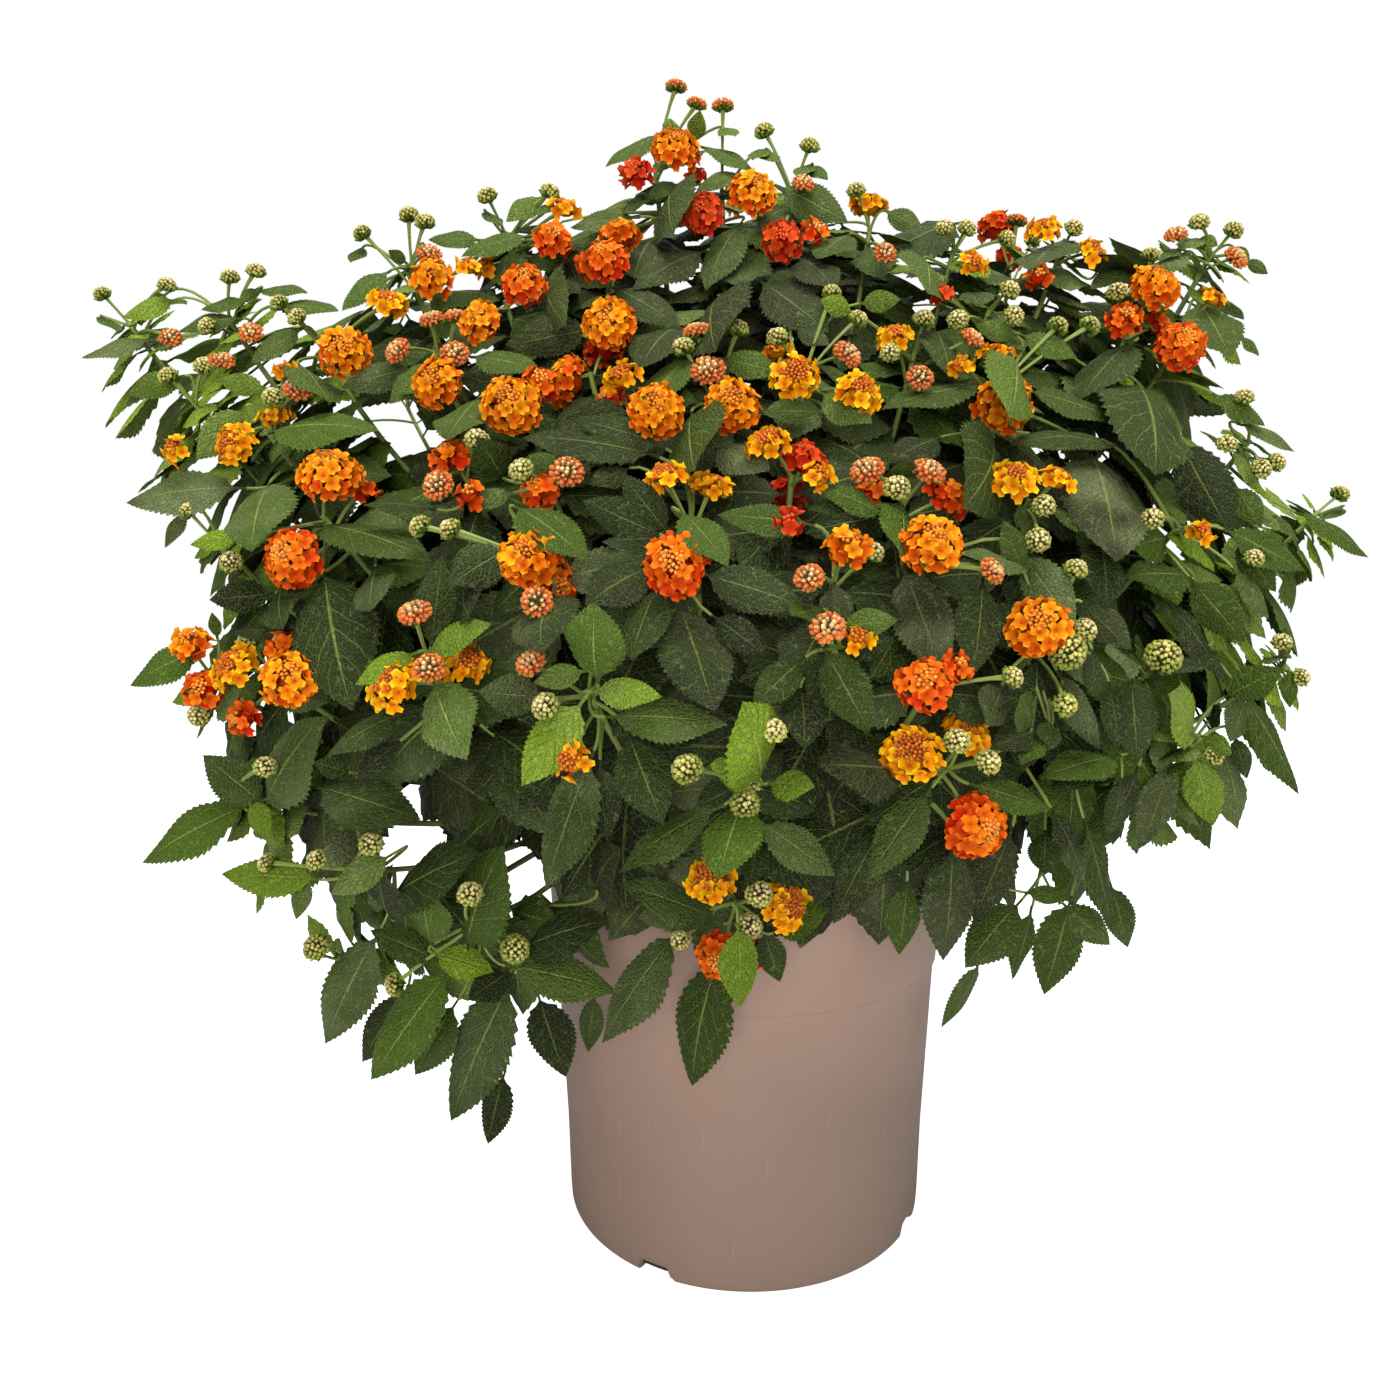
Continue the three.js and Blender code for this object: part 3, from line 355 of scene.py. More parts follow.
def layBranches():
    # rings of woody branches: each leaves its hole upright and curves to a fork on a dome round the heart
    branches = []
    for ring in rings:
        for k in range(ring["count"]):
            turn, lift = math.radians(ring["first"] + 360 * k / ring["count"]), math.radians(ring["lift"])
            out = np.array([math.cos(turn), math.sin(turn), 0.0])
            direction = out * math.cos(lift) + up * math.sin(lift)
            hole, fork = out * ring["hole"], heart + direction * ring["reach"]
            mouth = hole + up * (soil["top"] + soil["mound"])
            branches.append({
                "node": f"{ring['name']}_branch_{k + 1}",
                "name": f"{ring['name']}{k + 1}",
                "direction": direction,
                "root": hole + up * (soil["top"] - soil["holeDepth"] + soil["holeGap"]),
                "controls": [mouth, mouth + up * wood["upright"], fork - direction * wood["arrive"], fork],
                "shoots": [],
            })
    return branches


def alongCurve(controls, t):
    # points of a Bezier curve of two or three stretches, at the shares t
    t = np.asarray(t, float)[:, None]
    if len(controls) == 3:
        a, b, c = controls
        return (1 - t) ** 2 * a + 2 * t * (1 - t) * b + t**2 * c
    a, b, c, d = controls
    return (1 - t) ** 3 * a + 3 * t * (1 - t) ** 2 * b + 3 * t**2 * (1 - t) * c + t**3 * d


def layStem(shoot, start):
    # a bent line from its place on the branch, then straight up to the tip
    cut = shoot["tip"] - shoot["direction"] * rachis["length"]
    bend = cut - shoot["direction"] * green["bend"] * np.linalg.norm(cut - start)
    shoot["stem"] = np.vstack([alongCurve([start, bend, cut], np.linspace(0, 1, green["steps"])), shoot["tip"]])
    shoot["length"] = np.linalg.norm(np.diff(shoot["stem"], axis=0), axis=1).sum()


def onStem(shoot, below):
    # the point a given distance below the tip, and the way the stem runs there
    left, stem = below, shoot["stem"]
    for i in range(len(stem) - 1, 0, -1):
        way = stem[i] - stem[i - 1]
        length = np.linalg.norm(way)
        way = way / length
        if left <= length or i == 1:
            return stem[i] - way * left, way
        left -= length


shoots = layShoots()
branches = layBranches()
for shoot in shoots:
    away = unit(shoot["tip"] - heart)
    branch = max(branches, key=lambda b: b["direction"] @ away)
    branch["shoots"].append(shoot)
for branch in branches:
    lastStretch = alongCurve(branch["controls"], [2 / 3, 1])
    for i, shoot in enumerate(branch["shoots"]):
        share = forkStretch[1] - (forkStretch[1] - forkStretch[0]) * i / len(branch["shoots"])
        layStem(shoot, lastStretch[0] * (1 - share) + lastStretch[1] * share)
        for j, head in enumerate(shoot["heads"]):
            head["root"], _ = onStem(shoot, rachis["topBelow"] + rachis["step"] * j)
            head["way"] = shoot["direction"]
    branch["heads"] = [head for shoot in branch["shoots"] for head in shoot["heads"]]
    branch["leaves"], branch["twigs"] = [], []

stemReach = {"first": 4, "step": 5, "last": 20, "aside": 0.35}  # places on the stems that a single stalk may leave
places = [[onStem(shoot, below)[0] for below in np.arange(stemReach["first"], shoot["length"] - stemReach["last"],
                                                         stemReach["step"])] for shoot in shoots]
stemPoints = np.array([place for rows in places for place in rows])
stemOwners = np.repeat(np.arange(len(shoots)), [len(rows) for rows in places])


def nearestStem(point, way):
    # where a stalk that reaches the point along the way leaves a stem: the shortest way counts, longer if bent
    off = point - stemPoints
    far = np.linalg.norm(off, axis=1)
    best = np.argmin(far * (1 + stemReach["aside"] * (1 - off @ way / np.maximum(far, 1e-6))))
    owner = shoots[stemOwners[best]]
    return next(b for b in branches if any(s is owner for s in b["shoots"])), stemPoints[best]


for text in looseHeads.split(" | "):
    kind, x, y = text.split()
    centre = onSight(float(x), float(y), faceDepth(float(x), float(y)))
    way = unit(centre - heart)
    branch, root = nearestStem(centre, way)
    branch["heads"].append({"kind": kind[0], "size": float(kind[1:]), "sight": (float(x), float(y)),
                            "centre": centre, "root": root, "way": way})
allHeads = [head for branch in branches for head in branch["heads"]]
headShare = {"bloom": 0.91, "bud": 1.0, "fullFrom": 520}  # how much of its room a head fills, less if near
for head in allHeads:
    share = headShare["bloom" if head["kind"] in "fyor" else "bud"]
    head["size"] *= share * min(1, (head["centre"][1] - eye["y"]) / headShare["fullFrom"])
print("layout:", len(shoots), "shoots,", len(allHeads), "heads")

# Every shape that grows stays within the frame's box.
lowLimit, highLimit = (np.array(corner, float) / millimetre for corner in cadBox)
limitEase = 4.0  # millimetres before the box where points begin to give way


def heldInside(points):
    # within limitEase of the frame's box a point gives way more and more, and never leaves the box
    over = np.maximum(points - (highLimit - limitEase), 0)
    under = np.maximum(lowLimit + limitEase - points, 0)
    give = lambda d: d - limitEase * d / (d + limitEase)
    return points - give(over) + give(under)


class Gather:
    # collects copies of small closed shapes: points, faces, four tone values and one uv a point

    def __init__(self):
        self.points, self.tones, self.uvs, self.faces, self.count = [], [], [], {3: [], 4: []}, 0

    def add(self, points, faces, tones, uvs=None, held=True):
        # points is (copies, corners, 3); faces is a dictionary from side count to an array of corner numbers
        points = heldInside(points) if held else points
        copies, corners = points.shape[:2]
        starts = self.count + corners * np.arange(copies)
        self.points.append(points.reshape(-1, 3))
        self.tones.append(np.broadcast_to(tones, (copies, corners, 4)).reshape(-1, 4))
        uvs = np.zeros((1, 1, 2)) if uvs is None else uvs
        self.uvs.append(np.broadcast_to(uvs, (copies, corners, 2)).reshape(-1, 2))
        for sides, rows in faces.items():
            if len(rows):
                self.faces[sides].append((np.asarray(rows)[None] + starts[:, None, None]).reshape(-1, sides))
        self.count += copies * corners


# Edges that bend by more than this many degrees stay sharp.
sharpFrom = {"leaves": 60, "stems": 60, "petals": 80, "buds": 50, "pot": 40, "soil": 60}


def makePiece(name, gather, material, nodes, kind):
    # one mesh from all that was gathered, smooth but for its sharp edges
    points = np.concatenate(gather.points) * millimetre
    faces = [np.concatenate(rows) for sides, rows in sorted(gather.faces.items()) if rows]
    sides = np.concatenate([np.full(len(rows), rows.shape[1]) for rows in faces])
    corners = np.concatenate([rows.ravel() for rows in faces])
    mesh = bpy.data.meshes.new(name)
    mesh.vertices.add(len(points))
    mesh.vertices.foreach_set("co", points.astype(np.float32).ravel())
    mesh.loops.add(len(corners))
    mesh.loops.foreach_set("vertex_index", corners.astype(np.int32))
    mesh.polygons.add(len(sides))
    mesh.polygons.foreach_set("loop_start", (np.cumsum(sides) - sides).astype(np.int32))
    mesh.polygons.foreach_set("use_smooth", np.ones(len(sides), bool))
    tone = mesh.attributes.new("tone", "FLOAT_COLOR", "POINT")
    tone.data.foreach_set("color", np.concatenate(gather.tones).astype(np.float32).ravel())
    uv = mesh.uv_layers.new(name="surface")
    uv.data.foreach_set("uv", np.concatenate(gather.uvs)[corners].astype(np.float32).ravel())
    mesh.update(calc_edges=True)
    mesh.set_sharp_from_angle(angle=math.radians(sharpFrom[kind]))
    mesh.materials.append(material)
    piece = bpy.data.objects.new(name, mesh)
    bpy.context.scene.collection.objects.link(piece)
    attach(piece, "root")
    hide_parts(*nodes)


def ringGrid(rows, columns):
    # quads of a tube of rows rings with columns corners each, and caps of triangles round a middle point
    r, c = np.meshgrid(np.arange(rows - 1), np.arange(columns), indexing="ij")
    a, b = r * columns + c, r * columns + (c + 1) % columns
    quads = np.stack([a, b, b + columns, a + columns], -1).reshape(-1, 4)
    k = np.arange(columns)
    first, last, top = rows * columns, rows * columns + 1, (rows - 1) * columns
    caps = np.concatenate([
        np.stack([np.full(columns, first), (k + 1) % columns, k], -1),
        np.stack([np.full(columns, last), top + k, top + (k + 1) % columns], -1),
    ])
    return {3: caps, 4: quads}


def tubes(paths, radii, sides):
    # tubes along paths (tubes, rings, 3): each ring stands square to its path, in axes carried along it
    ways = unitRows(np.gradient(paths, axis=1))
    helper = np.where(np.abs(ways[:, :1, 2:]) > uprightFrom, np.array([1.0, 0, 0]), up)
    a = unitRows(np.cross(helper, ways[:, :1]))[:, 0]
    turn = 2 * np.pi * np.arange(sides) / sides
    rows = []
    for i in range(paths.shape[1]):
        way = ways[:, i]
        a = unitRows(a - way * (a * way).sum(-1, keepdims=True))
        b = np.cross(way, a)
        ring = a[:, None] * np.cos(turn)[None, :, None] + b[:, None] * np.sin(turn)[None, :, None]
        rows.append(paths[:, i, None] + ring * radii[:, i, None, None])
    points = np.stack(rows, 1).reshape(len(paths), -1, 3)
    points = np.concatenate([points, paths[:, :1], paths[:, -1:]], 1)
    return points, ringGrid(paths.shape[1], sides)


def addTubes(gather, paths, radii, sides, tones):
    # tubes of the same radii along all paths
    points, faces = tubes(paths, np.broadcast_to(radii, paths.shape[:2]), sides)
    gather.add(points, faces, np.array(tones))


def paint(r, g, b):
    # a colour given from 0 to 255 as seen, as the linear value that shaders take
    s = np.array([r, g, b]) / 255
    return tuple(np.where(s > 0.04045, ((s + 0.055) / 1.055) ** 2.4, s / 12.92)) + (1.0,)


class Nodes:
    # a short way to write node trees: value or socket in, socket out

    def __init__(self, name):
        self.material = bpy.data.materials.new(name)
        self.material.use_nodes = True
        self.tree = self.material.node_tree
        self.shader = self.tree.nodes["Principled BSDF"]

    def put(self, socket, value):
        if isinstance(value, bpy.types.NodeSocket):
            self.tree.links.new(value, socket)
        else:
            socket.default_value = value

    def node(self, kind, **settings):
        made = self.tree.nodes.new(kind)
        for key, value in settings.items():
            setattr(made, key, value)
        return made

    def math(self, operation, a, b=0.0, c=0.0):
        made = self.node("ShaderNodeMath", operation=operation)
        for socket, value in zip(made.inputs, (a, b, c)):
            self.put(socket, value)
        return made.outputs[0]

    def mix(self, share, a, b, blend="MIX"):
        made = self.node("ShaderNodeMix", data_type="RGBA", blend_type=blend)
        self.put(made.inputs[0], share)
        self.put(made.inputs[6], a)
        self.put(made.inputs[7], b)
        return made.outputs[2]

    def ramp(self, share, stops):
        made = self.node("ShaderNodeValToRGB")
        ramp = made.color_ramp
        while len(ramp.elements) < len(stops):
            ramp.elements.new(0.5)
        for element, (place, colour) in zip(ramp.elements, stops):
            element.position, element.color = place, colour
        self.put(made.inputs[0], share)
        return made.outputs[0]

    def between(self, value, low, high, outLow=0.0, outHigh=1.0):
        made = self.node("ShaderNodeMapRange", interpolation_type="SMOOTHSTEP")
        for socket, number in zip(made.inputs, (value, low, high, outLow, outHigh)):
            self.put(socket, number)
        return made.outputs[0]

    def noise(self, scale, detail=3.0, where=None):
        made = self.node("ShaderNodeTexNoise")
        self.put(made.inputs["Vector"], where or self.place())
        made.inputs["Scale"].default_value = scale
        made.inputs["Detail"].default_value = detail
        return made.outputs[0]

    def cells(self, scale, feature="F1"):
        made = self.node("ShaderNodeTexVoronoi", feature=feature)
        self.put(made.inputs["Vector"], self.place())
        made.inputs["Scale"].default_value = scale
        return made.outputs[0]

    def place(self):
        return self.node("ShaderNodeTexCoord").outputs["Object"]

    def tone(self):
        return self.node("ShaderNodeAttribute", attribute_name="tone")

    def split(self, vector):
        made = self.node("ShaderNodeSeparateXYZ")
        self.put(made.inputs[0], vector)
        return made.outputs

    def bump(self, height, distance, strength):
        made = self.node("ShaderNodeBump")
        made.inputs["Strength"].default_value = strength
        made.inputs["Distance"].default_value = distance
        self.put(made.inputs["Height"], height)
        return made.outputs[0]

    def finish(self, colour, roughness, normal=None, **constants):
        self.put(self.shader.inputs["Base Color"], colour)
        self.put(self.shader.inputs["Roughness"], roughness)
        if normal:
            self.put(self.shader.inputs["Normal"], normal)
        for key, value in constants.items():
            self.shader.inputs[key].default_value = value
        return self.material


leafLook = {
    "young": paint(144, 174, 38), "middle": paint(71, 96, 24), "old": paint(30, 38, 19), "oldest": paint(18, 20, 16),
    "vein": paint(172, 190, 94), "under": paint(100, 120, 56), "paintedSkySheen": paint(126, 135, 92), "veins": 6,
    "veinSlope": 0.36, "veinHalf": 0.07, "midribHalf": 0.065, "netScale": 420, "relief": 0.0014, "gloss": 0.13,
}


def leafMaterial():
    # tone: age, chance and under side; surface: along and across the blade. Side veins are stripes of along
    # less a slope times across; the net is the edges of cells, and the skin bulges between them
    n = Nodes("leafSurface")
    age, chance, under = n.split(n.tone().outputs["Vector"])
    along, across, _ = n.split(n.node("ShaderNodeUVMap", uv_map="surface").outputs[0])
    side = n.math("ABSOLUTE", across)
    phase = n.math("MULTIPLY", n.math("SUBTRACT", along, n.math("MULTIPLY", side, leafLook["veinSlope"])),
                   leafLook["veins"])
    wobble = n.math("MULTIPLY_ADD", n.noise(90, 2), 0.35, phase)
    offVein = n.math("ABSOLUTE", n.math("SUBTRACT", n.math("FRACT", wobble), 0.5))
    vein = n.between(offVein, 0.0, leafLook["veinHalf"], 1, 0)
    midrib = n.between(side, 0.0, leafLook["midribHalf"], 1, 0)
    net = n.cells(leafLook["netScale"], "DISTANCE_TO_EDGE")
    colour = n.ramp(age, [(0, leafLook["young"]), (0.3, leafLook["middle"]), (0.66, leafLook["old"]),
                          (1, leafLook["oldest"])])
    colour = n.mix(n.between(n.noise(35, 2), 0.35, 0.7, 0, 0.2), colour, n.mix(0.6, colour, leafLook["middle"]))
    # painted sky sheen: some leaves by chance, and more towards the top, are mixed towards a pale grey-green
    paintedSheenShare = n.math("MULTIPLY", n.math("POWER", chance, 3.0), n.between(n.noise(22, 2), 0.35, 0.65, 0.1, 0.6))
    lit = n.between(n.split(n.place())[2], 0.42, 0.66, 0, 0.16)  # painted sky sheen, paler towards the top of the bush
    colour = n.mix(n.math("MAXIMUM", paintedSheenShare, lit), colour, leafLook["paintedSkySheen"])
    veins = n.math("MULTIPLY", n.math("MAXIMUM", midrib, n.math("MULTIPLY", vein, 0.85)),
                   n.math("MULTIPLY_ADD", age, -0.4, 0.66))
    colour = n.mix(veins, colour, leafLook["vein"])
    colour = n.mix(n.between(net, 0.0, 0.09, 0.12, 0), colour, leafLook["vein"])
    colour = n.mix(n.math("MULTIPLY", under, 0.8), colour, leafLook["under"])
    quilt = n.math("SUBTRACT", n.math("MULTIPLY", n.between(net, 0, 0.25), 0.55),
                   n.math("MULTIPLY", n.math("MAXIMUM", midrib, vein), 0.7))
    normal = n.bump(quilt, leafLook["relief"], 1.0)
    roughness = n.between(n.noise(60, 2), 0.3, 0.7, 0.5, 0.66)
    return n.finish(colour, roughness, normal, **{"Specular IOR Level": leafLook["gloss"]})


stemLook = {"green": paint(136, 152, 70), "wood": paint(112, 96, 74), "dark": paint(62, 52, 40)}


def stemMaterial():
    # tone: woodiness and chance, from smooth green to grey bark
    n = Nodes("stemSkin")
    woody, chance, _ = n.split(n.tone().outputs["Vector"])
    grain = n.noise(240, 4)
    bark = n.mix(n.between(grain, 0.4, 0.65), stemLook["wood"], stemLook["dark"])
    fresh = n.mix(n.math("MULTIPLY", chance, 0.5), stemLook["green"], leafLook["middle"])
    colour = n.mix(woody, fresh, bark)
    return n.finish(colour, 0.62, n.bump(grain, 0.0006, 0.6))


def headMaterial(name, roughness, grainScale, depth):
    # tone: the colour itself, mottled by fine grain
    n = Nodes(name)
    grain = n.noise(grainScale, 3)
    own = n.tone().outputs["Color"]
    colour = n.mix(n.between(grain, 0.35, 0.75, 0, 0.25), own, n.mix(1, own, (0.8, 0.62, 0.5, 1), "MULTIPLY"))
    return n.finish(colour, roughness, n.bump(grain, depth, 0.5), **{"Specular IOR Level": 0.06})


potLook = {"base": paint(146, 118, 102), "paintedTopLight": paint(166, 135, 118), "cool": paint(136, 114, 99),
           "scuff": paint(170, 146, 130)}


def potMaterial():
    # dull moulded plastic, lighter and warmer towards the rim as painted light, with upright scratches and pale specks
    n = Nodes("mouldedPlastic")
    where = n.place()
    height = n.split(where)[2]
    broad = n.noise(5, 2)
    colour = n.mix(n.between(broad, 0.35, 0.65), potLook["base"], potLook["cool"])
    # painted light: the upper part of the pot is mixed towards a lighter, warmer colour
    colour = n.mix(n.between(height, 0.1, 0.25, 0, 0.75), colour, potLook["paintedTopLight"])
    stretched = n.node("ShaderNodeMapping")
    n.put(stretched.inputs["Vector"], where)
    stretched.inputs["Scale"].default_value = (1, 1, 0.15)
    scratches = n.between(n.noise(160, 2, stretched.outputs[0]), 0.68, 0.74, 0, 0.18)
    specks = n.between(n.cells(90), 0.0, 0.04, 0.35, 0)
    colour = n.mix(n.math("MAXIMUM", scratches, specks), colour, potLook["scuff"])
    normal = n.bump(n.noise(900, 2), 0.0002, 0.35)
    return n.finish(colour, n.between(n.noise(20, 3), 0.3, 0.7, 0.42, 0.56), normal)


soilLook = {"dark": paint(34, 26, 20), "brown": paint(74, 56, 42), "fibre": paint(120, 96, 70)}


def soilMaterial():
    # dark crumbs with pale fibres
    n = Nodes("pottingMix")
    grain = n.noise(420, 6)
    colour = n.mix(n.between(grain, 0.4, 0.7), soilLook["dark"], soilLook["brown"])
    colour = n.mix(n.between(n.cells(240), 0.0, 0.12, 0.7, 0), colour, soilLook["fibre"])
    return n.finish(colour, 0.95, n.bump(grain, 0.003, 1.0))


leafSurface = leafMaterial()
stemSkin = stemMaterial()
petalSkin = headMaterial("petals", 0.62, 700, 0.0003)
budSkin = headMaterial("buds", 0.6, 900, 0.0002)
print("materials made")

# A leaf, in shares of its length or half width; ridge, stalkHalf and pucker are in millimetres.
leafForm = {
    "faceTeeth": 16, "fineTeeth": 10, "plainTeeth": 6, "toothReach": 0.05, "toothAhead": 0.8,
    "notchDepth": 0.06, "slant": 0.1,
    "baseRound": 0.56, "tipTaper": 1.06, "ridge": 0.9, "stalkHalf": 0.75, "stalkShare": 0.16,
    "pucker": 0.55, "puckerFrom": 14, "crown": 0.1, "leastBend": 0.05, "waves": 1.4,
}


def leafTemplate(teeth):
    # eight corners a row: tooth and notch of the left edge, halfway, midrib, halfway, notch and tooth of the
    # right edge, and the middle of the under side; half width = share^baseRound (1-share)^tipTaper, and
    # the rows slant forward towards the edge as the side veins do; the last row has no teeth
    share = (np.arange(teeth) + 0.25) / (teeth + 0.15)
    step = share[1] - share[0]

    def halfWidth(s):
        s = np.clip(s, 0, 1)
        return s ** leafForm["baseRound"] * (1 - s) ** leafForm["tipTaper"]

    most = halfWidth(np.linspace(0, 1, 200)).max()
    v = np.array([-1, -1, -0.5, 0, 0.5, 1, 1, 0])
    isTooth = np.array([1, 0, 0, 0, 0, 0, 1, 0])
    lean = leafForm["slant"] * np.abs(v)[None] * (1 - share[:, None]) * np.minimum(1, share[:, None] * 5)
    ahead = isTooth * step * leafForm["toothAhead"]
    t = share[:, None] + lean + ahead
    reach = 1 + isTooth * leafForm["toothReach"] - (np.abs(v) == 1) * (1 - isTooth) * leafForm["notchDepth"]
    h = halfWidth(share[:, None] + ahead) / most * reach
    pucker = np.where(np.arange(teeth) % 2, -1, 1)[:, None] * (np.abs(v) == 0.5)[None]
    used = np.ones((teeth, 8), bool)
    used[-1, [0, 6]] = False
    number = np.cumsum(used.ravel()).reshape(used.shape) - 1 + 8
    rows = {"t": t[used], "h": h[used], "v": np.broadcast_to(v, t.shape)[used], "pucker": pucker[used],
            "under": np.broadcast_to(np.arange(8) == 7, t.shape)[used].astype(float)}
    stalkRing = {"t": [0] * 4, "h": [0] * 4, "v": [-1, 0, 1, 0], "pucker": [0] * 4, "under": [0, 0, 0, 1]}
    grid = {key: np.concatenate([stalkRing[key], stalkRing[key], rows[key], [1 if key == "t" else 0]]).astype(float)
            for key in rows}
    count = len(grid["t"])
    grid["onStalk"] = np.concatenate([np.ones(4), np.full(4, 0.25), np.zeros(count - 8)])
    grid["isStalk"] = np.concatenate([np.ones(8), np.zeros(count - 8)])
    end = count - 1
    n, m = number[:-1], number[1:]
    quads = [np.stack(q, -1) for q in [
        (n[:, 2], m[:, 2], m[:, 3], n[:, 3]), (n[:, 3], m[:, 3], m[:, 4], n[:, 4]),
        (n[:, 0], m[:, 1], m[:, 2], n[:, 2]), (n[:, 4], m[:, 4], m[:, 5], n[:, 6]),
        (n[:, 7], m[:, 7], m[:, 1], n[:, 0]), (n[:, 6], m[:, 5], m[:, 7], n[:, 7])]]
    tris = [np.stack(q, -1) for q in [
        (n[:, 1], n[:, 0], n[:, 2]), (n[:, 4], n[:, 6], n[:, 5]),
        (n[:, 1], n[:, 7], n[:, 0]), (n[:, 7], n[:, 5], n[:, 6])]]
    first, last = number[0], number[-1]
    quads.append(np.array([
        (0, 4, 5, 1), (1, 5, 6, 2), (0, 3, 7, 4), (3, 2, 6, 7), (0, 1, 2, 3),
        (4, first[2], first[3], 5), (5, first[3], first[4], 6), (4, 7, first[7], first[1]),
        (6, first[5], first[7], 7)]))
    tris.append(np.array([
        (4, first[1], first[2]), (6, first[4], first[5]),
        (last[1], end, last[2]), (last[2], end, last[3]), (last[3], end, last[4]), (last[4], end, last[5]),
        (last[1], last[7], end), (last[7], last[5], end)]))
    return grid, {3: np.concatenate(tris), 4: np.concatenate(quads)}


leafTemplates = {kind: leafTemplate(leafForm[kind + "Teeth"]) for kind in ("face", "fine", "plain")}


def addLeaves(gather, leaves, template):
    # the midrib is an arc that bends away from the upper side; each half drops with its distance from the
    # midrib, waves along the edge, and is puckered between the side veins
    if not leaves:
        return
    grid, faces = leafTemplates[template]
    pick = {key: np.array([leaf[key] for leaf in leaves], float) for key in leaves[0]}

    def whole(key):
        return pick[key][:, None]

    t, h, v = grid["t"][None], grid["h"][None], grid["v"][None]
    ones = np.ones((len(leaves), t.shape[1]))
    share = whole("stalkShare")
    along = share + (1 - share) * t - share * grid["onStalk"][None]
    bend = np.maximum(whole("bend"), leafForm["leastBend"])
    angle = bend * along
    axis, side = pick["axis"][:, None], pick["side"][:, None]
    normal = np.cross(axis, side)
    length, half = whole("length"), whole("length") * whole("width") / 2
    ahead = (np.sin(angle) / bend * length)[..., None]
    down = ((1 - np.cos(angle)) / bend * length)[..., None]
    lifted = normal * np.cos(angle)[..., None] + axis * np.sin(angle)[..., None]
    isStalk = grid["isStalk"][None]
    off = (h * half * (1 - isStalk) + leafForm["stalkHalf"] * isStalk) * v
    phase = leafForm["waves"] * t + whole("chance") * 3 + 0.37 * np.sign(v)
    wave = whole("wave") * half * np.sin(2 * np.pi * phase) * np.abs(v) ** 2 * np.sqrt(h)
    drop = whole("fold") * np.abs(off) + leafForm["crown"] * off**2 / np.maximum(half, 1)
    pucker = leafForm["pucker"] * grid["pucker"][None] * np.minimum(1, half / leafForm["puckerFrom"]) * h
    thick = np.where(isStalk > 0, 2 * leafForm["stalkHalf"], leafForm["ridge"])
    rise = wave - drop + pucker - grid["under"][None] * thick
    points = pick["root"][:, None] + axis * ahead - normal * down + side * off[..., None] + lifted * rise[..., None]
    tones = np.stack([whole("age") * ones, whole("chance") * ones, grid["under"][None] * ones, 0 * ones], -1)
    uvs = np.stack([t * ones, v * ones], -1)
    gather.add(points, faces, tones, uvs)


# Pairs down a stem: distance below the tip, length with stalk, width over length, age and turn added.
oldPairs = [(140, 88, 0.6, 0.95, 0.3), (165, 88, 0.6, 1, 0.8), (192, 86, 0.6, 1, 0.3), (222, 84, 0.6, 1, 0.8)]
sprayPairs = [
    (35, 56, 0.58, 0.3, 0), (56, 73, 0.58, 0.55, 0), (86, 84, 0.58, 0.75, 0), (120, 86, 0.58, 0.9, 0),
    (2, 34, 0.52, 0.1, 0.3), (11, 50, 0.56, 0.18, 0.8), (22, 62, 0.58, 0.28, 0.3),
    (46, 74, 0.6, 0.5, 0.8), (70, 80, 0.6, 0.62, 0.8), (103, 86, 0.6, 0.8, 0.8),
] + oldPairs
budShootPairs = [
    (3, 32, 0.52, 0.0, 0), (20, 54, 0.57, 0.1, 0), (56, 74, 0.58, 0.4, 0), (86, 84, 0.58, 0.65, 0),
    (120, 86, 0.58, 0.85, 0), (9, 46, 0.56, 0.05, 0.8), (33, 66, 0.58, 0.22, 0.8),
    (44, 68, 0.58, 0.32, 0.3), (70, 80, 0.6, 0.5, 0.8), (103, 86, 0.6, 0.75, 0.8),
] + oldPairs + [(0.5, 17, 0.54, 0, 0.9), (5, 25, 0.55, 0.02, 1.4), (13, 36, 0.56, 0.06, 0.5), (26, 44, 0.56, 0.12, 1.2)]
leafPose = {"forward": 0.8, "forwardLoss": 0.008, "leastForward": 0.1, "sag": 0.25, "faceOut": 0.68, "faceUp": 0.15,
            "flatten": 0.75, "scatter": 0.7, "away": np.array([0.7, 1.0, 0.6]), "frontTurn": 0.75, "backTurn": 0.5,
            "tries": 4, "retry": 0.3, "nearHead": 2.5, "sightShare": 0.6, "sightClear": 3, "showySize": 18,
            "shootAge": 0.42, "bloomAge": 0.3, "budAge": 0.75, "pairAge": 0.4, "fillAgeAndShade": 0.7, "fringeDown": 560,
            "fringeYouthAndLight": 0.15, "smallLeaf": 46, "plainFrom": 100, "grow": (0.86, 0.26), "bend": (0.25, 0.6),
            "fold": (0.08, 0.25), "wave": (0.05, 0.08)}
headCentres = np.array([head["centre"] for head in allHeads])
headRadii = np.array([head["size"] / 2 for head in allHeads])
showy = np.array([head["kind"] in "fyor" and head["size"] > leafPose["showySize"] and bool(head["sight"])
                  for head in allHeads])
eyePoint = np.array([eye["x"], eye["y"], eye["z"]], float)
sightLines = unitRows(eyePoint - headCentres)


def midribPoints(leaf):
    # four points down the arc of a leaf's midrib
    share = np.array([0.35, 0.6, 0.85, 1.0])[:, None]
    bend = max(leaf["bend"], leafForm["leastBend"])
    normal = np.cross(leaf["axis"], leaf["side"])
    return (leaf["root"] + leaf["axis"] * np.sin(bend * share) / bend * leaf["length"]
            - normal * (1 - np.cos(bend * share)) / bend * leaf["length"])


openings = np.array([(397, 433, 40), (526, 872, 42), (412, 838, 38)])  # across, down, radius


def faceFringe(across, down):
    # 0 in the middle of the face, 1 and more at its edge: an ellipse's sum of squares
    aside, rise = (across - face["across"]) / face["halfAcross"], (down - face["down"]) / leafPose["fringeDown"]
    return aside**2 + rise**2


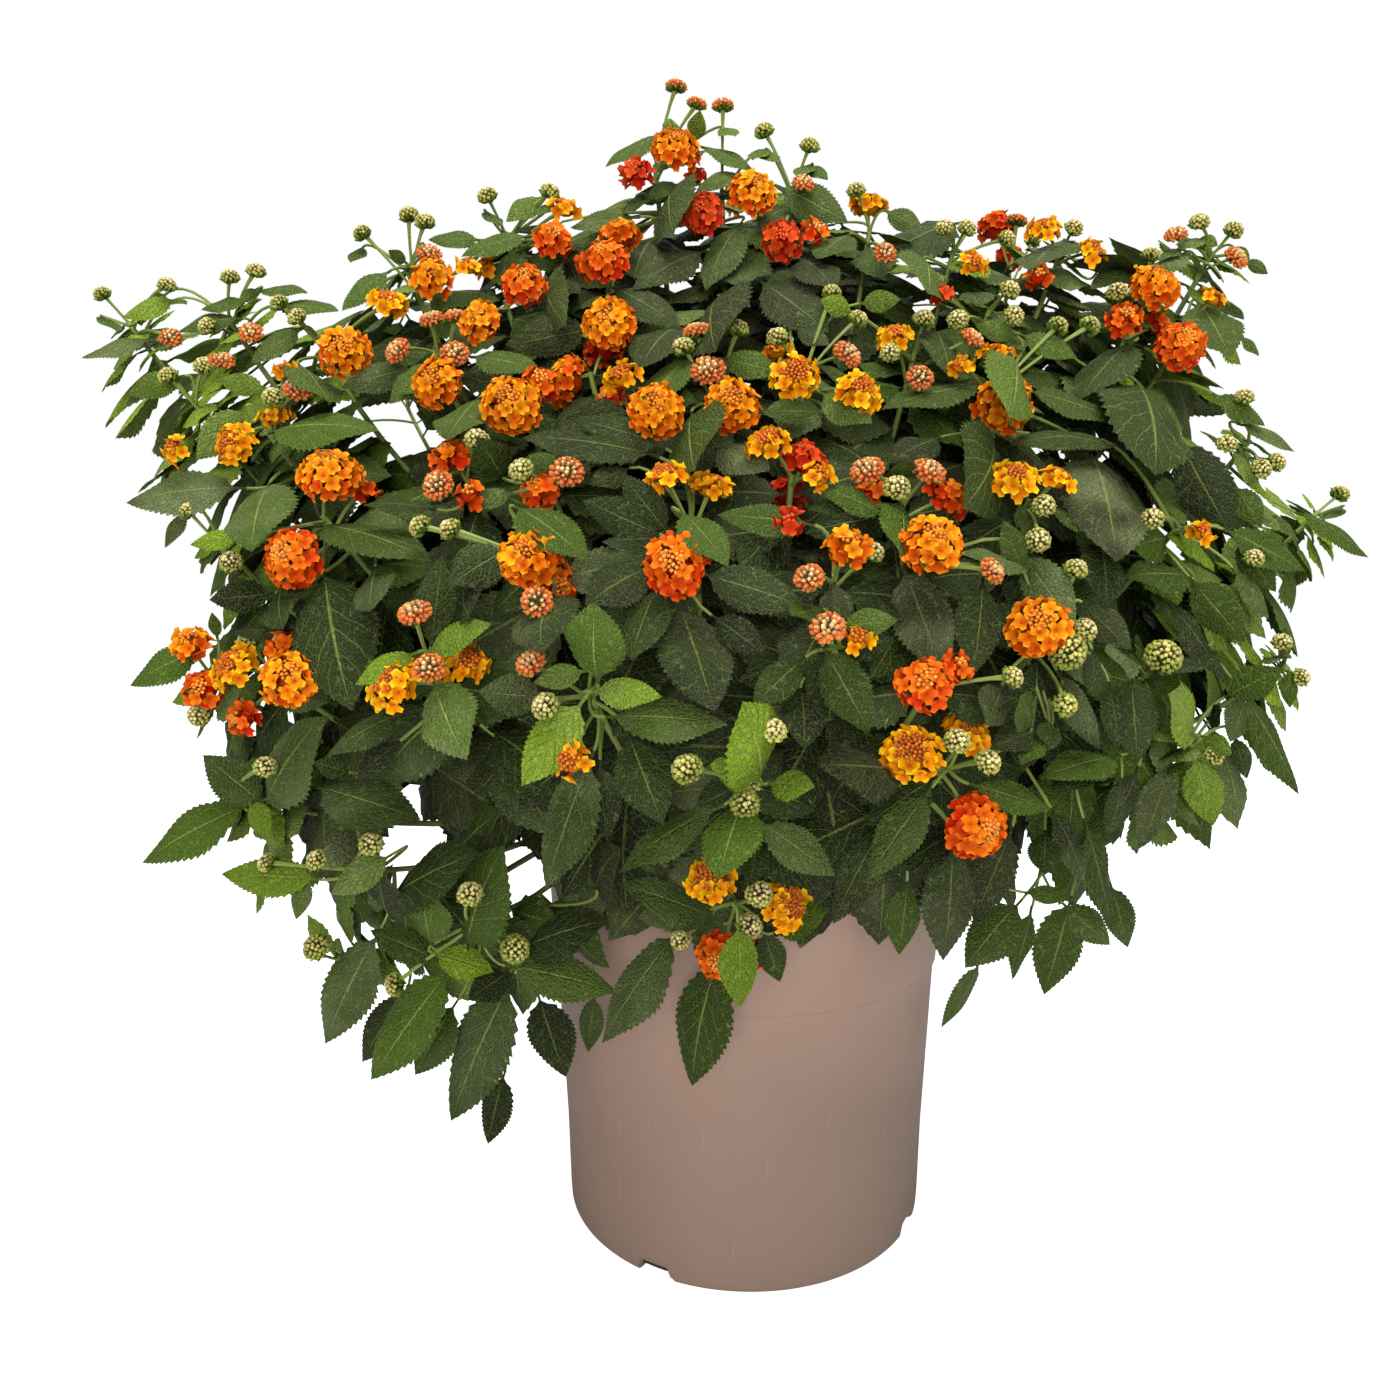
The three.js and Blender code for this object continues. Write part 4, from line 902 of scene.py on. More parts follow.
def standsClear(leaf):
    # no leaf runs through a head or the pot, or stands before a bloom, the leaves of the face or an opening
    points = midribPoints(leaf)
    across, down = toSight(points)
    if (np.hypot(across[:, None] - openings[:, 0], down[:, None] - openings[:, 1]) < openings[:, 2]).any():
        return False
    inPot = np.hypot(points[:, 0], points[:, 1]) < pot["rimRadius"] + faceLeafForm["potClear"]
    if (inPot & (points[:, 2] < pot["height"] + faceLeafForm["potClear"])).any():
        return False
    behind = faceLeafForm["fillBehind"] * np.clip(faceLeafForm["fillFringe"] - faceFringe(across, down), 0, 1)
    if not leaf["back"] and (points[:, 1] - faceDepth(across, down) < behind).any():
        return False
    away = points[:, None] - headCentres[None]
    distance = np.linalg.norm(away, axis=-1)
    if (distance < headRadii + leafPose["nearHead"]).any():
        return False
    ahead = (away * sightLines).sum(-1)
    aside = np.sqrt(np.maximum(distance**2 - ahead**2, 0))
    return not ((ahead > 0) & (aside < leafPose["sightShare"] * headRadii + leafPose["sightClear"]) & showy).any()


def leafAge(shoot, age):
    # from 0 young to 1 old, older leaves being darker; what fills up behind the leaves of the face is older, partly
    # real age and partly painted shade, and leaves towards its edge are younger, partly real age and partly painted
    # light
    usual = leafPose["bloomAge" if shoot["inBloom"] else "budAge"]
    age = min(1, max(0, age + leafPose["shootAge"] * (draw(shoot["index"], 11) - usual)))
    if shoot["back"]:
        return age
    fringe = min(1, faceFringe(*toSight(shoot["tip"])))
    # painted shade and light: the inner fill is made older and so darker, the edge younger and so brighter
    least = leafPose["fillAgeAndShade"] * (1 - fringe)
    return max(0, least + (1 - least) * age - leafPose["fringeYouthAndLight"] * fringe)


def pairedLeaves(shoot):
    # opposite pairs down the stem, each a quarter turn from the last; the upper side turns to the outside
    # of the bush, and the blade bends down with its weight
    pose, pairs = leafPose, sprayPairs if shoot["ownSpray"] else budShootPairs
    leaves = []

    def own(detail):
        return draw(shoot["index"], detail)

    for i, (below, length, width, age, offset) in enumerate(pairs):
        if below > shoot["length"] - stemReach["last"]:
            continue
        for k in range(2):
            root, along = onStem(shoot, below + 0.7 * k)
            a, b = squareTo(along)
            number = 2 * i + k
            turn = math.pi * (i / 2 + k + 0.25) + offset + 0.4 * (own(21 + number) - 0.5)
            chance = own(80 + number)
            out = a * math.cos(turn) + b * math.sin(turn)
            away = unit((root - heart) * pose["away"])
            away[1] += pose["backTurn"] if shoot["back"] else -pose["frontTurn"]
            scatter = np.array([own(130 + 3 * number + m) - 0.5 for m in range(3)])
            leaf = {
                "root": root, "length": length * within(pose["grow"], own(50 + number)), "width": width,
                "bend": within(pose["bend"], chance), "fold": within(pose["fold"], own(110 + number)),
                "wave": within(pose["wave"], chance), "age": leafAge(shoot, age + pose["pairAge"] * (chance - 0.5)),
                "chance": own(170 + number), "stalkShare": leafForm["stalkShare"], "back": shoot["back"],
                "below": below if length > pose["smallLeaf"] else pose["plainFrom"],
            }
            forward = max(pose["leastForward"], pose["forward"] - pose["forwardLoss"] * below)
            for attempt in range(pose["tries"]):
                axis = unit(out + along * (forward - pose["retry"] * attempt) - up * pose["sag"])
                faceWay = unit(unit(away) * pose["faceOut"] + along * (1 - pose["faceOut"]) + up * pose["faceUp"]
                               + scatter * pose["scatter"])
                leaf["axis"] = unit(axis - faceWay * (axis @ faceWay) * pose["flatten"])
                leaf["side"] = unit(np.cross(faceWay, leaf["axis"]))
                if standsClear(leaf):
                    leaves.append(leaf)
                    break
    return leaves


twigForm = {"bend": 0.4, "steps": 7, "radii": (1.1, 0.8), "sides": 5}
faceLeafForm = {"ratio": (0.48, 0.64), "depth": 6, "ageDepth": 22, "tipNearer": 6, "stalk": 0.14, "leastTurn": 0.42,
                "outward": 0.6, "recede": 0.15, "mostSlope": 0.55, "potClear": 7, "fillBehind": 24, "fillFringe": 1.1,
                "bend": (0.15, 0.4), "fold": (0.03, 0.14), "wave": (0.04, 0.08)}


def addTwig(branch, place, root, way):
    # a curve from a place on a stem to the root of a leaf, arriving along its way
    bend = root - way * twigForm["bend"] * np.linalg.norm(root - place)
    branch["twigs"].append(alongCurve([place, bend, root], np.linspace(0, 1, twigForm["steps"])))


def beforePot(across, down, y):
    # the point of the line of sight at depth y, or just before the pot's wall if it would lie in the pot
    point = onSight(across, down, y)
    clear = pot["rimRadius"] + faceLeafForm["potClear"]
    if point[2] < pot["height"] + clear - pot["rimRadius"] and abs(point[0]) < clear:
        point = onSight(across, down, min(y, -math.sqrt(clear**2 - point[0] ** 2)))
    return point


def faceLeaf(row, index):
    # a blade that shows wider than its length allows points at the viewer, and one that shows narrower is
    # turned about its midrib, upper side up; its stalk is carried on as a twig from the nearest stem
    look = faceLeafForm
    x0, y0, x1, y1, wide, age, *near = map(float, row.split())
    age /= 100
    near += [0, 0]
    inward = look["depth"] + look["ageDepth"] * age - near[0]
    base = beforePot(x0, y0, faceDepth(x0, y0) + inward)
    scale = (base[1] - eye["y"]) / eye["scale"]
    shown = math.hypot(x1 - x0, y1 - y0)
    ratio = max(look["ratio"][0], min(look["ratio"][1], wide / shown))
    ahead = scale * math.sqrt(max(0, (wide / ratio) ** 2 - shown**2)) + look["tipNearer"] + near[1]
    slope = max(faceDepth(x1, y1) - faceDepth(x0, y0), -look["mostSlope"] * shown * scale)
    tip = beforePot(x1, y1, base[1] + (slope if slope < 0 else slope * look["recede"]) - ahead)
    chord = tip - base
    blade = np.linalg.norm(chord)
    axis = chord / blade
    toEye = unit(eyePoint - base)
    facing = unit(toEye - axis * (toEye @ axis))
    rolled = np.cross(axis, facing)
    out = unit((base - heart) * np.array([1, 1, 0]))
    rolled *= 1 if rolled @ (up + out * look["outward"]) > 0 else -1
    turn = max(look["leastTurn"], min(1, wide * scale / (ratio * blade)))
    normal = facing * turn + rolled * math.sqrt(1 - turn * turn)
    bend = within(look["bend"], draw(index, 3))
    stalk = look["stalk"] * blade
    root = base - axis * stalk
    start = axis * math.cos(bend / 2) + normal * math.sin(bend / 2)
    branch, place = nearestStem(root, axis)
    addTwig(branch, place, root, start)
    branch["leaves"].append({
        "root": root, "axis": start, "side": unit(np.cross(normal, axis)),
        "length": (blade + stalk) * (bend / 2) / math.sin(bend / 2), "width": ratio * blade / (blade + stalk),
        "bend": bend, "fold": within(look["fold"], draw(index, 4)), "wave": within(look["wave"], draw(index, 5)),
        "age": age, "chance": draw(index, 6), "stalkShare": stalk / (blade + stalk), "below": -1, "back": False})


for branch in branches:
    branch["leaves"] = [leaf for shoot in branch["shoots"] for leaf in pairedLeaves(shoot)]
for i, row in enumerate(faceLeaves.replace("\n", " | ").strip(" |").split(" | ")):
    faceLeaf(row, i)

crownFill = {"count": 90, "key": 500, "halfWidth": 310, "front": -40, "back": 130, "height": 0.84, "length": 74,
             "grow": (0.8, 0.35), "width": 0.56, "reach": 40, "droop": 0.9, "level": 0.7, "outward": 0.5, "lean": 1.6,
             "ridge": 40, "bend": (0.3, 0.5), "fold": (0.1, 0.2), "wave": 0.08, "age": (0.45, 0.45), "below": 50}


def crownLeaf(index):
    # a leaf of the top, between the front and the back shoots: it lies on a dome a little lower than theirs and
    # its stalk is carried on as a twig from the nearest stem
    look = crownFill
    x = look["halfWidth"] * (2 * draw(index, 31) - 1)
    y = look["front"] + (look["back"] - look["front"]) * draw(index, 32)
    lift = 1 - (x / dome["x"]) ** 2 - ((y - dome["centreY"]) / dome["y"]) ** 2
    base = np.array([x, y, dome["centreZ"] + dome["z"] * look["height"] * math.sqrt(max(0.05, lift))
                     - look["reach"] * draw(index, 33)])
    turn = fullTurn * draw(index, 34)
    axis = unit(np.array([math.cos(turn), math.sin(turn), look["droop"] * (draw(index, 35) - look["level"])]))
    tilt = look["lean"] * draw(index, 41) * np.array([0, 1 if y > look["ridge"] else -1, 0])
    normal = unit(up + look["outward"] * unit(base - heart) + tilt)
    branch, place = nearestStem(base, axis)
    leaf = {"root": base, "axis": axis, "side": unit(np.cross(normal, axis)),
            "length": look["length"] * within(look["grow"], draw(index, 36)), "width": look["width"],
            "bend": within(look["bend"], draw(index, 37)), "fold": within(look["fold"], draw(index, 38)),
            "wave": look["wave"], "age": within(look["age"], draw(index, 39)), "chance": draw(index, 40),
            "stalkShare": leafForm["stalkShare"], "below": look["below"], "back": True}
    if standsClear(leaf):
        branch["leaves"].append(leaf)
        addTwig(branch, place, base, axis)


for i in range(crownFill["count"]):
    crownLeaf(crownFill["key"] + i)

for branch in branches:
    gather = Gather()
    leaves = branch["leaves"]
    addLeaves(gather, [leaf for leaf in leaves if leaf["below"] < 0], "face")
    addLeaves(gather, [leaf for leaf in leaves if 0 <= leaf["below"] < leafPose["plainFrom"]], "fine")
    addLeaves(gather, [leaf for leaf in leaves if leaf["below"] >= leafPose["plainFrom"]], "plain")
    makePiece(branch["name"] + "Leaves", gather, leafSurface, [branch["node"]], "leaves")
print("leaves:", sum(len(b["leaves"]) for b in branches))

sprays = [shoot for shoot in shoots if shoot["ownSpray"]]
for i, shoot in enumerate(sprays):
    shoot["sprayNode"] = f"flower_spray_{i + 1}"

stalkForm = {"radii": (1.15, 1.0, 0.95, 0.98, 1.1, 1.6), "middle": 0.45, "follow": 0.12, "end": 0.95, "sides": 5}


def stalkPath(head):
    # from the stem to just inside the head, leaving along the shoot's own way
    way = head["centre"] - head["root"]
    middle = head["root"] + way * stalkForm["middle"] + head["way"] * stalkForm["follow"] * np.linalg.norm(way)
    return alongCurve([head["root"], middle, head["centre"]], np.linspace(0, stalkForm["end"], len(stalkForm["radii"])))


for branch in branches:
    gather = Gather()
    trunk = np.vstack([branch["root"], alongCurve(branch["controls"], np.linspace(0, 1, wood["steps"]))])[None]
    radii = np.append(wood["rootRadius"], np.linspace(wood["rootRadius"], wood["forkRadius"], wood["steps"]))
    knots = 1 + wood["knots"][0] * np.sin(np.arange(len(radii)) * wood["knots"][1])
    addTubes(gather, trunk, radii * knots, wood["sides"], [1.0, 0.5, 0, 0])
    paths = np.stack([shoot["stem"] for shoot in branch["shoots"]])
    woody = np.clip(1.1 - 2.2 * np.linspace(0, 1, paths.shape[1]), 0, 1)  # bark at the fork, green from halfway
    woody = np.append(np.repeat(woody, green["sides"]), [1, 0])
    tones = np.zeros((len(paths), len(woody), 4))
    tones[..., 0] = woody
    tones[..., 1] = np.array([draw(shoot["index"], 90) for shoot in branch["shoots"]])[:, None]
    addTubes(gather, paths, np.linspace(green["forkRadius"], green["tipRadius"], paths.shape[1]), green["sides"], tones)
    if branch["heads"]:
        addTubes(gather, np.stack([stalkPath(head) for head in branch["heads"]]), stalkForm["radii"],
                 stalkForm["sides"], [0.0, 0.2, 0, 0])
    if branch["twigs"]:
        addTubes(gather, np.stack(branch["twigs"]), np.linspace(*twigForm["radii"], twigForm["steps"]),
                 twigForm["sides"], [0.0, 0.5, 0, 0])
    nodes = [branch["node"]] + [shoot["sprayNode"] for shoot in branch["shoots"] if shoot["ownSpray"]]
    makePiece(branch["name"] + "Stems", gather, stemSkin, nodes, "stems")
print("stems made")

# Colours and forms of the blooms (y young, f full, o orange, r red) and of the closed heads.
# rim is a painted highlight on the edges of the lobes; throat is partly the floret's own eye colour and partly painted
# shade in its tube
petalLook = {
    "y": {"inner": paint(255, 190, 12), "outer": paint(250, 150, 8), "rim": paint(255, 218, 30),
          "bud": paint(208, 112, 40), "flat": 0.62, "openFrom": 0.86, "lowest": -0.05},
    "f": {"inner": paint(252, 164, 14), "outer": paint(232, 84, 4), "rim": paint(255, 184, 38),
          "bud": paint(222, 130, 46), "flat": 0.8, "openFrom": 0.97, "lowest": -0.3},
    "o": {"inner": paint(248, 128, 14), "outer": paint(216, 42, 4), "rim": paint(250, 128, 36),
          "bud": paint(236, 150, 60), "flat": 0.8, "openFrom": 0.97, "lowest": -0.3},
    "r": {"inner": paint(224, 80, 20), "outer": paint(186, 28, 10), "rim": paint(232, 96, 48),
          "bud": paint(222, 84, 40), "flat": 0.78, "openFrom": 0.97, "lowest": -0.3},
    "throat": paint(160, 44, 6), "tube": paint(196, 74, 28),
}
budLook = {
    "b": {"cap": paint(230, 216, 152), "rimCap": paint(182, 178, 98), "neck": paint(76, 72, 32), "flat": 0.8},
    "g": {"cap": paint(210, 204, 120), "rimCap": paint(156, 162, 76), "neck": paint(72, 84, 34), "flat": 0.85},
    "c": {"cap": paint(236, 194, 130), "rimCap": paint(222, 124, 66), "neck": paint(104, 50, 26), "flat": 0.52},
    "core": paint(52, 52, 24), "bract": paint(104, 132, 44),
}
floretForm = {"radius": 4.7, "lobes": 4, "throat": 0.24, "notch": 0.66, "ruffle": 0.7, "tube": 0.16,
              "shoulders": (0.32, 0.68), "lobeSize": (0.88, 0.26), "size": (0.86, 0.22), "throatDown": 0.9,
              "middle": 0.66, "middleUp": 0.2, "edgeUp": 0.8, "neck": 1.6, "neckDown": 1.5, "eyeDown": 1.3}
knobForm = {"foot": (0.6, -1.1), "belly": 0.1, "tallBelly": -0.4, "shoulder": 0.68, "tip": 0.66, "top": 0.8}
bloomForm = {"inset": 1.2, "each": 38, "least": 6, "uneven": 2.2, "unevenFrom": 9, "tilt": 0.7, "ripen": 1.15,
             "shade": (0.77, 0.34), "large": 22, "foot": 0.55, "core": 0.58, "shutZone": 0.08, "shutInset": 1.9,
             "shutSize": 1.25, "shutEach": 4.6, "shutShade": (0.7, 0.6)}
budForm = {"width": 2.5, "widen": 0.04, "widenFrom": 6, "cover": 1.3, "each": 0.92, "fill": 0.53, "jitter": 0.16,
           "lowest": -0.3, "inset": 0.9, "core": 0.8, "rimFrom": 0.9, "rimOver": 0.35, "shade": (0.8, 0.35),
           "tall": {"b": 1.0, "g": 1.0, "c": 1.5}}
bractForm = {"count": 9, "size": 1.35, "tall": 2.1, "tip": 0.3, "polar": (-0.62, -0.2), "lean": 0.9, "inset": 0.6,
             "shade": (0.75, 0.4)}


def headPoints(count, lowest):
    # directions by golden angles from the pole down to a lowest cosine
    k = np.arange(count)
    z = 1 - (1 - lowest) * (k + 0.5) / count
    flat = np.sqrt(1 - z * z)
    return np.stack([flat * np.cos(goldenTurn * k), flat * np.sin(goldenTurn * k), z], -1)


def turned(directions, axis, turn):
    # directions about +Z carried to directions about axis
    a, b = squareTo(axis)
    a, b = a * math.cos(turn) + b * math.sin(turn), b * math.cos(turn) - a * math.sin(turn)
    return directions @ np.stack([a, b, axis])


def axesFor(normals, turns):
    # two axes square to each normal, turned about it
    helper = np.where(np.abs(normals[:, 2:]) > uprightFrom, np.array([1.0, 0, 0]), up)
    a = unitRows(np.cross(helper, normals))
    b = np.cross(normals, a)
    c, s = np.cos(turns)[:, None], np.sin(turns)[:, None]
    return a * c + b * s, b * c - a * s


def spread(i, j, shape):
    # repeatable numbers from 0 to 1 in an array of a shape
    s = np.sin(np.arange(np.prod(shape)) * 91.7 + i * 12.9898 + j * 78.233) * 43758.5453
    return (s - np.floor(s)).reshape(shape)


def addFlorets(gather, centres, normals, turns, sizes, inner, paintedRimHighlights, feet, key):
    # a floret is a shallow bowl of rounded lobes on a thin tube: radius 1 at a lobe's shoulders, less at its
    # notches; the rim ruffles and curls, and the tube runs to its foot
    form, lobes = floretForm, floretForm["lobes"]
    corners = 3 * lobes
    count = len(centres)
    period = 2 * np.pi / lobes
    angle = (np.repeat(np.arange(lobes), 3) + np.tile([0, *form["shoulders"]], lobes)) * period
    reach = np.tile([form["notch"], 1, 1], lobes)
    lobeSize = np.repeat(within(form["lobeSize"], spread(key, 21, (count, lobes))), 3, 1)
    lobeRise = np.repeat(spread(key, 22, (count, lobes)) - 0.5, 3, 1) * np.tile([0.3, 1, 1], lobes)
    a, b = axesFor(normals, turns)
    size = sizes[:, None]

    def ring(radius, rise):
        radius, rise = np.broadcast_to(radius, (count, corners)), np.broadcast_to(rise, (count, corners))
        return (centres[:, None] + a[:, None] * (radius * np.cos(angle))[..., None]
                + b[:, None] * (radius * np.sin(angle))[..., None] + normals[:, None] * rise[..., None])

    throat = ring(form["throat"] * size, -form["throatDown"])
    middle = ring(form["middle"] * size * (0.55 + 0.45 * reach) * lobeSize,
                  form["middleUp"] + 0.5 * form["ruffle"] * lobeRise)
    edge = ring(size * reach * lobeSize, form["edgeUp"] * reach - 0.1 + 2 * form["ruffle"] * lobeRise)
    neck = ring(form["tube"] * size * form["neck"], -form["neckDown"])
    centre = (centres - normals * form["eyeDown"])[:, None]
    points = np.concatenate([throat, middle, edge, neck, centre, feet[:, None]], 1)
    k = np.arange(corners)
    nxt = (k + 1) % corners
    first, last = 4 * corners, 4 * corners + 1
    tris = np.concatenate([np.stack([np.full(corners, first), k, nxt], -1),
                           np.stack([np.full(corners, last), 3 * corners + nxt, 3 * corners + k], -1)])
    quads = np.concatenate([np.stack([k + j * corners, k + (j + 1) * corners, nxt + (j + 1) * corners,
                                      nxt + j * corners], -1) for j in range(3)])
    # painted highlight and shade: the lobe edges take the pale rim colour, the notches between lobes are darker, and
    # the throat is darker, partly its own eye colour
    throatEyeAndShade, tubeTone = np.array(petalLook["throat"]), np.array(petalLook["tube"])
    paintedNotchShade = np.tile([1.0, 0, 0], lobes)[None, :, None]
    tones = np.concatenate([
        np.repeat((inner * 0.5 + throatEyeAndShade * 0.5)[:, None], corners, 1),
        np.repeat(inner[:, None] * 0.9, corners, 1) * (1 - 0.25 * paintedNotchShade),
        paintedRimHighlights[:, None] * (1 - paintedNotchShade) + inner[:, None] * 0.6 * paintedNotchShade,
        np.tile(tubeTone, (count, corners, 1)),
        np.tile(throatEyeAndShade, (count, 1, 1)), np.tile(tubeTone * 0.6, (count, 1, 1))], 1)
    gather.add(points, {3: tris, 4: quads}, tones)


def addKnobs(gather, centres, normals, turns, sizes, caps, necks, tall=1.0, tip=knobForm["tip"]):
    # an unopened floret: a four-sided knob, narrow at its foot, widest below its blunt top; tall and with a
    # narrow tip it is a bract
    angle = np.pi / 2 * np.arange(4)
    a, b = axesFor(normals, turns)
    size = sizes[:, None, None]

    def ring(radius, rise):
        flat = a[:, None] * np.cos(angle)[None, :, None] + b[:, None] * np.sin(angle)[None, :, None]
        return centres[:, None] + flat * radius * size + normals[:, None] * rise * tall * size

    top = (centres + normals * knobForm["top"] * tall * sizes[:, None])[:, None]
    belly = knobForm["belly" if tall == 1 else "tallBelly"]
    points = np.concatenate([ring(*knobForm["foot"]), ring(1.0, belly), ring(tip, knobForm["shoulder"]), top], 1)
    k = np.arange(4)
    nxt = (k + 1) % 4
    quads = np.concatenate([np.stack([k, nxt, nxt + 4, k + 4], -1),
                            np.stack([k + 4, nxt + 4, nxt + 8, k + 8], -1), [[3, 2, 1, 0]]])
    tris = np.stack([k + 8, nxt + 8, np.full(4, 12)], -1)
    tones = np.concatenate([np.repeat(necks[:, None] * 0.4, 4, 1),
                            np.repeat(necks[:, None] * 0.6 + caps[:, None] * 0.4, 4, 1),
                            np.repeat(caps[:, None], 4, 1), caps[:, None]], 1)
    gather.add(points, {3: tris, 4: quads}, tones)


def addCore(gather, centre, axis, radius, flat, colour):
    # the flattened ball that florets or buds stand on
    rows, columns = 6, 9
    polar = np.pi * (np.arange(rows) + 0.5) / rows
    turn = 2 * np.pi * np.arange(columns) / columns
    a, b = squareTo(axis)
    ring = a * np.cos(turn)[None, :, None] + b * np.sin(turn)[None, :, None]
    points = (centre - axis * (np.cos(polar) * radius * flat)[:, None, None]
              + ring * (np.sin(polar) * radius)[:, None, None])
    ends = [centre - axis * radius * flat, centre + axis * radius * flat]
    points = np.concatenate([points.reshape(-1, 3), ends])
    gather.add(points[None], ringGrid(rows, columns), np.array(colour))


def onDome(directions, axis, radius, flat):
    # points of a ball flattened along its axis, and the ways its surface faces there
    rise = (directions @ axis)[:, None] * axis
    return (directions - rise + rise * flat) * radius, unitRows(directions - rise + rise / flat)


def addBloom(gather, buds, head, axis, key):
    # florets over a flattened dome, riper towards its edge, round the knobs of unopened ones at the top
    form, r, look = bloomForm, head["size"] / 2, petalLook[head["kind"]]
    flat = look["flat"]
    reach = r - form["inset"]
    area = 2 * math.pi * (reach - 1) ** 2 * (1.05 - look["lowest"]) * (0.5 + 0.5 * flat)
    count = max(form["least"], round(area / form["each"]))
    directions = turned(headPoints(count, look["lowest"]), axis, aboutTurn * draw(key, 1))
    polar = directions @ axis
    chance = spread(key, 2, (count,))
    uneven = form["uneven"] * (chance[:, None] - 0.3) * (r > form["unevenFrom"])
    points, ways = onDome(directions, axis, reach - uneven, flat)
    ways = unitRows(ways + form["tilt"] * (spread(key, 5, (count, 3)) - 0.5))
    ripe = np.clip((1 - polar) * form["ripen"] + 0.5 * (chance - 0.5), 0, 1)[:, None]
    colour = np.array(look["inner"]) * (1 - ripe) + np.array(look["outer"]) * ripe
    colour = colour * within(form["shade"], spread(key, 4, (count, 1)))
    # painted highlight: the pale rim colour mixed into the edge of each lobe
    paintedRimHighlights = colour * 0.4 + np.array(look["rim"]) * 0.6
    lowest = look["openFrom"] - form["shutZone"]
    isOpen = polar < (look["openFrom"] if head["size"] > form["large"] else lowest)
    sizes = floretForm["radius"] * within(floretForm["size"], spread(key, 6, (count,))) * min(1, 0.74 + r / 50)
    feet = head["centre"] - axis * form["foot"] * r * flat + (points * 0.12)
    addFlorets(gather, (head["centre"] + points)[isOpen], ways[isOpen], fullTurn * chance[isOpen], sizes[isOpen],
               colour[isOpen], paintedRimHighlights[isOpen], feet[isOpen], key)
    shutCount = max(5, round(2 * math.pi * (1 - lowest) * (r - 1.5) ** 2 / form["shutEach"]))
    shut = turned(headPoints(shutCount, lowest), axis, halfTurn * draw(key, 9))
    places, ways = onDome(shut, axis, r - form["shutInset"], flat)
    caps = np.array(look["bud"]) * within(form["shutShade"], spread(key, 10, (len(shut), 1)))
    addKnobs(buds, head["centre"] + places, ways, fullTurn * spread(key, 11, (len(shut),)),
             np.full(len(shut), form["shutSize"]), caps, caps * 0.5)
    # the core is the outer colour darkened to six tenths: painted shade in the gaps between florets
    addCore(buds, head["centre"], axis, form["core"] * r, flat, np.array(look["outer"]) * 0.6)


def addBudHead(gather, head, axis, key):
    # knobs by golden angles over a flattened dome, and a ring of green bracts under them
    form, r, look = budForm, head["size"] / 2, budLook[head["kind"]]
    flat = look["flat"]
    width = form["width"] * (1 + (r - form["widenFrom"]) * form["widen"])
    area = 2 * math.pi * r * r * form["cover"] * (0.35 + 0.65 * flat)
    count = round(area / (width * width * form["each"]))
    directions = turned(headPoints(count, form["lowest"]), axis, aboutTurn * draw(key, 1))
    directions = unitRows(directions + form["jitter"] * (spread(key, 8, (count, 3)) - 0.5))
    outer = np.clip((form["rimFrom"] - directions @ axis) / form["rimOver"], 0, 1)[:, None]
    chance = spread(key, 2, (count, 1))
    caps = (np.array(look["cap"]) * (1 - outer) + np.array(look["rimCap"]) * outer) * within(form["shade"], chance)
    necks = np.array(look["neck"]) * np.ones((count, 1))
    places, ways = onDome(directions, axis, r - form["inset"], flat)
    sizes = width * form["fill"] * within(form["shade"], chance[:, 0])
    addKnobs(gather, head["centre"] + places, ways, fullTurn * chance[:, 0], sizes, caps, necks,
             form["tall"][head["kind"]])
    addCore(gather, head["centre"], axis, form["core"] * r, flat, budLook["core"])
    k = np.arange(bractForm["count"])
    low, high = bractForm["polar"]
    polar = low + (high - low) * spread(key, 12, k.shape)
    around = 2 * np.pi * (k + 0.5 * spread(key, 13, k.shape)) / len(k)
    side = np.sqrt(1 - polar**2)
    bracts = turned(np.stack([side * np.cos(around), side * np.sin(around), polar], -1), axis, 0.0)
    places, ways = onDome(bracts, axis, r - bractForm["inset"], flat)
    caps = np.array(budLook["bract"]) * within(bractForm["shade"], spread(key, 14, (len(k), 1)))
    addKnobs(gather, head["centre"] + places, unitRows(ways + axis * bractForm["lean"]), around,
             np.full(len(k), bractForm["size"]), caps, caps * 0.7, bractForm["tall"], bractForm["tip"])


headLean = {"stalk": 0.6, "outward": 0.25, "upward": 0.4}  # the ways that a head's axis follows
headKey = 0
for branch in branches:
    blooms, buds = Gather(), Gather()
    for head in branch["heads"]:
        headKey += 1
        stalkWay = unit(head["centre"] - head["root"])
        outward = unit((head["centre"] - heart) * np.array([1, 1, 0.3]))
        axis = unit(stalkWay * headLean["stalk"] + outward * headLean["outward"] + up * headLean["upward"])
        if head["kind"] in "fyor":
            addBloom(blooms, buds, head, axis, headKey)
        else:
            addBudHead(buds, head, axis, headKey)
    nodes = [shoot["sprayNode"] for shoot in branch["shoots"] if shoot["ownSpray"]]
    if blooms.count:
        makePiece(branch["name"] + "Blooms", blooms, petalSkin, nodes or [branch["node"]], "petals")
    if buds.count:
        makePiece(branch["name"] + "Buds", buds, budSkin, [branch["node"]] + nodes, "buds")
print("heads:", headKey)

potForm = {"around": 288, "foot": [(0.0, 1.6), (104, 1.6), (106, 0.4), (108, 0)], "skin": 0.2, "stepFade": 60,
           "lip": 1.6, "innerLip": 0.8, "archRamp": 3.2, "archKeep": 0.16, "archFade": 60, "outsideRows": 34}
soilForm = {"around": 96, "rows": 26, "middle": 0.03, "bottom": 4.4, "corner": 12, "rise": 0.9, "crumb": 2.2,
            "waves": [(0.21, 1), (0.47, 2.3), (0.83, 4), (1.4, 5.2)]}


def wallRadius(z):
    # the wall widens evenly from the base to the rim
    return pot["baseRadius"] + (pot["rimRadius"] - pot["baseRadius"]) * z / pot["height"]


def roundCorner(centreR, centreZ, radius, fromAngle, toAngle, steps):
    # an arc of the profile, angles in degrees
    turn = np.radians(np.linspace(fromAngle, toAngle, steps))
    return [(centreR + radius * math.cos(a), centreZ + radius * math.sin(a)) for a in turn]


